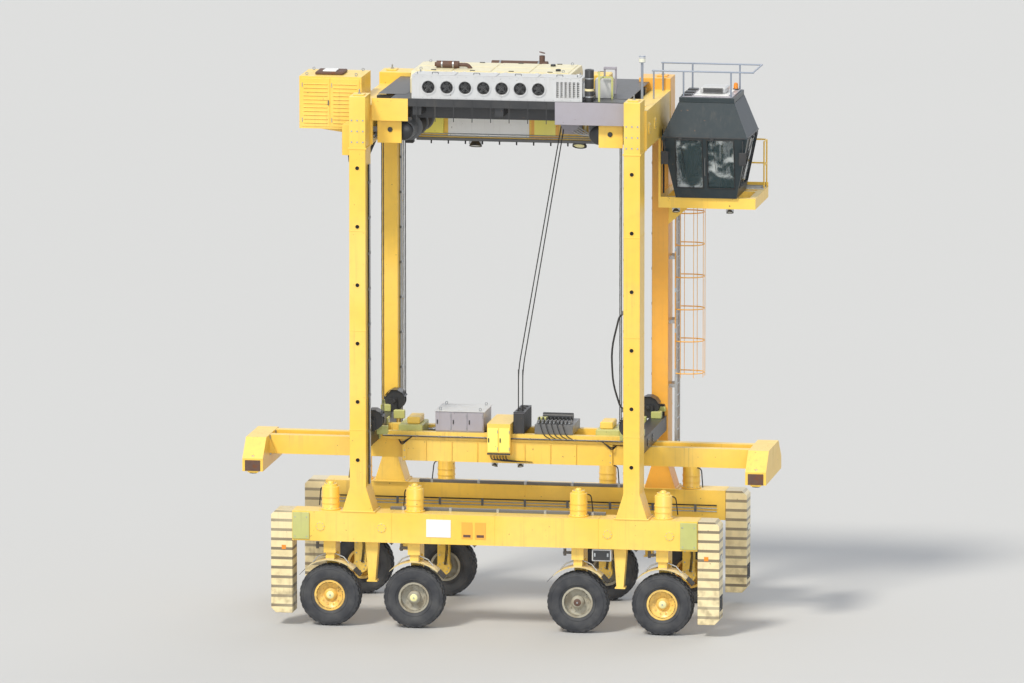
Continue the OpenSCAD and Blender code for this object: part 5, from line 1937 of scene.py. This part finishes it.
@dataclass
class Seat:
    """The driver's seat: three padded pieces that stand for the frame's seat."""

    def build(self) -> None:
        """Makes cushion, back and headrest."""
        SeatPad("seat_cushion").build((0, 0, 0.465), (0.52, 0.52, 0.13), 0.7, "cab_seat")
        SeatPad("seat_back").build((-0.27, 0, 0.75), (0.12, 0.5, 0.5), 0.7)
        SeatPad("seat_headrest").build((-0.27, 0, 1.045), (0.1, 0.28, 0.05), 0.8)


@dataclass
class PlatformTrim(Piece):
    """Grating, toe board, rails and hoses of the cab's platform, and the pole lamp."""

    name: str = "platform_trim"
    finish: str = "galvanized"
    rail_h: float = 1.1

    def build(self) -> None:
        """Makes the platform's dress."""
        self.at(3.97, 1.88, 9.75)
        for x in spaced(0.03, 1.59, 36):
            self.box((x - 0.004, 0.03, 0), (x + 0.004, 0.48, 0.025), 0)
        for y in (0.03, 0.255, 0.48):
            self.box((0.02, y - 0.006, 0), (1.6, y + 0.006, 0.03), 0)
        self.use("yellow").box((0, 0.496, 0), (1.63, 0.51, 0.1), 0.003)
        for x in spaced(0.03, 1.595, 4):
            self.rod((x, 0.475, 0), (x, 0.475, self.rail_h), 0.019, 10)
        for z in (0.5 * self.rail_h, self.rail_h):
            self.pipe([(0.03, 0.475, z), (1.595, 0.475, z), (1.595, 0.05, z)], 0.019, 0.1, 10)
        self.rod((1.595, 0.05, 0), (1.595, 0.05, self.rail_h), 0.019, 10)
        self.at(3.4, 0.55, 9.8)
        for k in range(3):
            y = 0.05 * k
            self.use("hose").pipe([(0, y, 1.5 - 0.1 * k), (0.03, y, 1.2), (0.03, y, 0)], 0.014, 0.1)
        self.lamp()
        self.done("chassis", "yellow_paint")

    def lamp(self) -> None:
        """Adds the shade, lens and foot of the pole lamp on the front crossbeam."""
        self.at(3.17, -0.95, 13.18)
        shade = [(0, 0), (0.05, -0.003), (0.076, -0.03), (0.078, -0.06), (0.068, -0.06)]
        self.use("light_grey").lathe(shade, (0, 0, 0.004), UP)
        self.use("lens").lathe([(0, -0.06), (0.076, -0.06), (0.076, -0.14), (0, -0.155)], (0, 0, 0), UP)
        self.use("yellow").box((-0.1, -0.1, -1.16), (0.1, 0.1, -1.145), 0.004)


@dataclass
class LiftTrim(Piece):
    """The lifting frame's dress: sheave guards, rollers, hoses, box details and basket."""

    name: str = "lift_trim"

    def build(self) -> None:
        """Makes the dress that rides on the lifting gear."""
        self.take(self.corner(), FOUR_CORNERS)
        for x, y in product((3.34, -3.34), (-1.1, -0.4)):
            self.use("black").cover((x, y, 4.27), (x, 0, 0), 0.095, 6)
        self.at(0, 0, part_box("lift_boxes")[0].z).lockers()
        self.valve_gear()
        self.basket()
        self.lines()
        self.done("lifting_gear", "black_paint")

    def corner(self) -> Piece:
        """Draws one corner: sheave guard, hubs, guide rollers, load cell and half of the lifting beam.

        Returns:
            The corner, as a part.
        """
        part = self.part("black").at(2.9753, 1.45, 4.685)
        strip = part.part("black")
        strip.slab((0.25, 0, 0), (0.008, 0.38, 0.125), 0)
        part.take(strip, [turned(-34 - 28 * k, "Y") for k in range(5)])
        for y in (-0.235, 0.235):
            part.lathe([(0, 0.03), (0.04, 0.026), (0.052, 0)], (0, y, 0), (0, y, 0), 18)
        part.at(3.17, 1.67, 0)
        for z in (4.12, 4.6):
            part.use("green_grey").box((-0.15, -0.04, z - 0.06), (0.15, 0.07, z + 0.05), 0.01)
            for x in (-0.12, 0.12):
                part.use("galvanized").rod((x, 0, z - 0.03), (x, 0.082, z - 0.03), 0.026, 14)
        part.use("green_grey").box((-0.12, -0.47, 4.44), (0.12, -0.29, 4.6), 0.012)
        part.box((-0.47, -0.61, 4.3), (-0.21, -0.47, 4.5), 0.015)
        part.at(0, 0, 0).box((2.97, 0.39, 4.11), (3.01, 0.65, 4.43), 0.005)
        part.bolts((2.97,), (0.415, 0.625), (4.16, 4.27, 4.38), -ALONG, 0.012)
        part.use("green_grey").box((2.02, 0, 4.12), (2.58, 0.44, 4.42), 0.02)
        part.use("yellow").box((2.1, 0, 4.42), (2.4, 0.3, 4.58), 0.02)
        return part

    def lockers(self) -> None:
        """Adds doors, lid and eyes of the switch cabinet."""
        door = self.part("lilac_grey")
        door.locker_door(0.353, 0.41)
        self.take(door, [facing((-1.51 + 0.373 * k, y, 0.235), way) for k in range(3)
                         for y, way in ((0.52, Way.LEFT), (-0.52, Way.RIGHT))])
        self.use("light_grey").box((-1.72, -0.54, 0.47), (-0.55, 0.54, 0.485), 0.004)
        self.eyes((-1.6, -0.67), (-0.42, 0.42), 0.485, ASIDE)

    def valve_gear(self) -> None:
        """Adds valves with their hoses and the accumulator on the low box."""
        self.use("grey").box((0.615, -0.524, 0.002), (1.505, 0.524, 0.225), 0.004)
        valve = self.part("grey")
        valve.box((-0.03, -0.44, 0.22), (0.03, -0.2, 0.31), 0.008)
        valve.use("black").rod((0, -0.32, 0.31), (0, -0.32, 0.37), 0.02, 10)
        valve.use("galvanized").rod((0, -0.44, 0.265), (0, -0.47, 0.265), 0.012, 8)
        self.take(valve, [Matrix.Translation((0.69 + 0.09 * k, 0, 0)) for k in range(9)])
        for x in spaced(0.75, 1.27, 5):
            self.use("hose").pipe([(x, -0.47, 0.265), (x, -0.6, 0.25), (x + 0.1, -0.67, 0),
                                   (x + 0.25, -0.66, -0.0813)], 0.011, 0.08)
        self.use("black").rod((0.7, 0.2, 0.31), (1.4, 0.2, 0.31), 0.09, 18)
        self.use("green_grey").box((0.62, -0.15, 0.22), (0.84, 0.02, 0.33), 0.01)

    def basket(self) -> None:
        """Adds the dark slatted walls of the cable basket and the cable that lies in it."""
        for x in (0.127, 0.363):
            self.use("black").slab((x, 0, 0.24), (0.006, 1.02, 0.46), 0)
            for y in spaced(-0.48, 0.48, 9):
                self.slab((x, y, 0.24), (0.02, 0.016, 0.46), 0)
        for y in (-0.523, 0.523):
            self.slab((0.245, y, 0.24), (0.25, 0.006, 0.46), 0)
        self.box((0.12, -0.53, 0.48), (0.37, 0.53, 0.5), 0.004)
        for y in (-0.3, 0, 0.3):
            self.use("hose").ring((0.245, y, 0.5), UP, 0.085, 0.014)

    def lines(self) -> None:
        """Adds the hydraulic pipes along the near long beam and the hose loops at its ends."""
        self.at(0, -0.64, 4.2).conduit((-2.9, 0, 0), (2.9, 0, 0), -ASIDE, 4, 0.03, 0.011, 11)
        loops = self.part("hose")
        for k in range(3):
            loops.pipe([(2.2, -0.09 + 0.03 * k, 0), (2.45, -0.11, -0.15 - 0.03 * k), (2.55, 0.04, -0.1),
                        (2.5, 0.14, -0.05)], 0.01, 0.08)
        self.take(loops, BOTH_ENDS)


@dataclass
class SupplyCables:
    """Two cables from the reel to the basket, and their lower ends."""

    top: float = 11.54
    rise: float = 5.3
    drop: float = 0.7

    def build(self) -> None:
        """Makes both pieces."""
        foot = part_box("lift_boxes")[0].z + 0.05
        run = foot + 2 * self.drop + 0.01
        cables, ends = Piece("supply_cables", "hose"), Piece("supply_cable_ends", "hose")
        for x, shift in ((0.2, 0), (0.3, 0.06)):
            cables.pipe([(x, -0.3, foot), (x, -0.3, run), (1.2 + shift, shift - 0.2, self.top)], 0.013, 0.3)
            ends.rod((x, -0.3, foot), (x, -0.3, run), 0.012, 8)
        ends.done("lifting_gear", "rope_steel")
        made, height = cables.done("chassis", "rope_steel"), self.top - foot
        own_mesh(made)


@dataclass
class SpreaderTrim(Piece):
    """Ribs, chest doors, cylinders, drag chain and lamps of the spreader's middle frame."""

    name: str = "spreader_trim"

    def build(self) -> None:
        """Makes the middle frame's dress."""
        end = self.part().at(2.35, 0, 3.62)
        for y in (0, 0.36):
            end.box((0, y - 0.03, 0.486), (0.1, y + 0.03, 0.516), 0.004)
        end.box((0, 0.645, 0), (0.1, 0.666, 0.486), 0.005)
        end.bolts((0.05,), (0.666,), (0.08, 0.24, 0.4), ASIDE, 0.013)
        self.take(end, FOUR_CORNERS)
        ribs = self.part()
        for x in (-1.9, -1.3, -0.7, 0.4, 1, 1.6):
            ribs.box((x - 0.012, 0.645, 3.64), (x + 0.012, 0.676, 4.086), 0.004)
        self.take(ribs, BOTH_SIDES)
        self.chest()
        self.at(0, 0, 4.2)
        for sign in (-1, 1):
            y = -0.36 * sign
            self.use("galvanized").rod((0.4 * sign, y, 0), (1.9 * sign, y, 0), 0.05, 18)
            self.rod((1.9 * sign, y, 0), (2.4 * sign, y, 0), 0.028, 14)
            self.floodlight((0.3 * sign, -0.6, -0.578), (0.2 * sign, -0.4, -1), 0.07)
        for x in spaced(-2.27, -0.2, 24):
            self.use("black").slab((x, 0.14, -0.06), (0.075, 0.12, 0.06), 0.008)
        self.done("lifting_gear", "yellow_paint")

    def chest(self) -> None:
        """Adds the doors of the chest on the near side, and the hoses under it."""
        self.at(0, -0.846, 3.84)
        door = self.part("bright")
        door.locker_door(0.24, 0.56)
        self.take(door, [facing((x, 0, 0.34), Way.RIGHT) for x in (-0.305, -0.035)])
        self.use("black").box((-0.44, -0.006, 0), (0.1, 0, 0.04), 0)
        for x in spaced(-0.36, -0.01, 6):
            self.use("hose").pipe([(x, 0.066, 0), (x, 0.066, -0.12), (x + 0.3, 0.126, -0.16),
                                   (x + 0.6, 0.176, -0.18)], 0.011, 0.08)


@dataclass
class ArmTrim(Piece):
    """Corner locks, guide plates, striped face and gussets of one end beam, drawn for the front."""

    def build(self, end: End) -> None:
        """Makes the end beam's dress.

        Args:
            end: The end that it is at.
        """
        arm = f"arm_{end.name.lower()}"
        outer = max(abs(corner.x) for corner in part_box(f"spreader_{arm}"))
        corner = self.part("galvanized").at(5.853, 1.13, 3.3)
        corner.box((-0.05, -0.028, 0.002), (0.05, 0.028, 0.035), 0.012)
        collar = [(0.046, 0.03), (0.085, 0.03), (0.09, 0.01), (0.046, 0.01), (0.046, 0.03)]
        corner.use("black").lathe(collar, (0, 0, 0), UP, 24)
        for x in (-0.085, 0.085):
            corner.use("galvanized").rod((x, 0, 0.01), (x, 0, 0.04), 0.014, 10)
        corner.rod((0, 0, 0.36), (0, 0, 0.42), 0.05, 16)
        corner.use("black").rod((0, 0, 0.435), (0, -0.33, 0.44), 0.016, 10)
        corner.use("rust").box((-0.18, 0.07, 0.07), (0.18, 0.102, 0.32))
        corner.at(outer, 0, 0).use("yellow")
        corner.plate([(-0.48, 0.35, 3.66), (-0.48, 0.35, 4.02), (-0.64, 0.35, 3.66)], (0, 0.02, 0))
        for y in (0.2, 0.62):
            corner.box((-0.02, y - 0.012, 3.64), (0, y + 0.012, 4.06), 0.003)
        self.take(corner, corners_of(end))
        face = self.part("chevrons").at(outer, 0, 0)
        face.box((-0.012, -1.19, 3.4), (-0.001, 1.19, 3.62), 0)
        for y in (-0.51, 0.21):
            face.use("galvanized").slab((-0.49, y, 3.84), (0.02, 0.28, 0.47), 0.005)
        self.take(face, [HERE if end is End.FRONT else turned(180, "Z")])
        self.done(arm, "yellow_paint")


def main() -> None:
    """Builds the machine's looks in order."""
    logging.basicConfig(level=logging.INFO, format="%(message)s")
    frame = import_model()
    Studio().build()
    FrameDress(frame["nodes"]).apply()
    for wheel in WHEELS:
        Tyre(f"tread_{wheel}").build()
        WheelTrim(f"wheel_trim_{wheel}").build()
        SteeringTrim(f"knuckle_trim_{wheel}").build()
    for trim in (BeamTrim, ColumnTrim, PortHousing, DeckTrim, GirderTrim, LiftTrim, SupplyCables, BumperTrim,
                 LadderTrim, HoistRopes, DrumCoils, EngineHood, HoistTrim, CabinetTrim, CabTrim, DoorTrim,
                 CabControls, Seat, PlatformTrim, SpreaderTrim):
        trim().build()
    for end in End:
        ArmTrim(f"arm_trim_{end.name.lower()}").build(end)


if __name__ == "__main__":
    main()
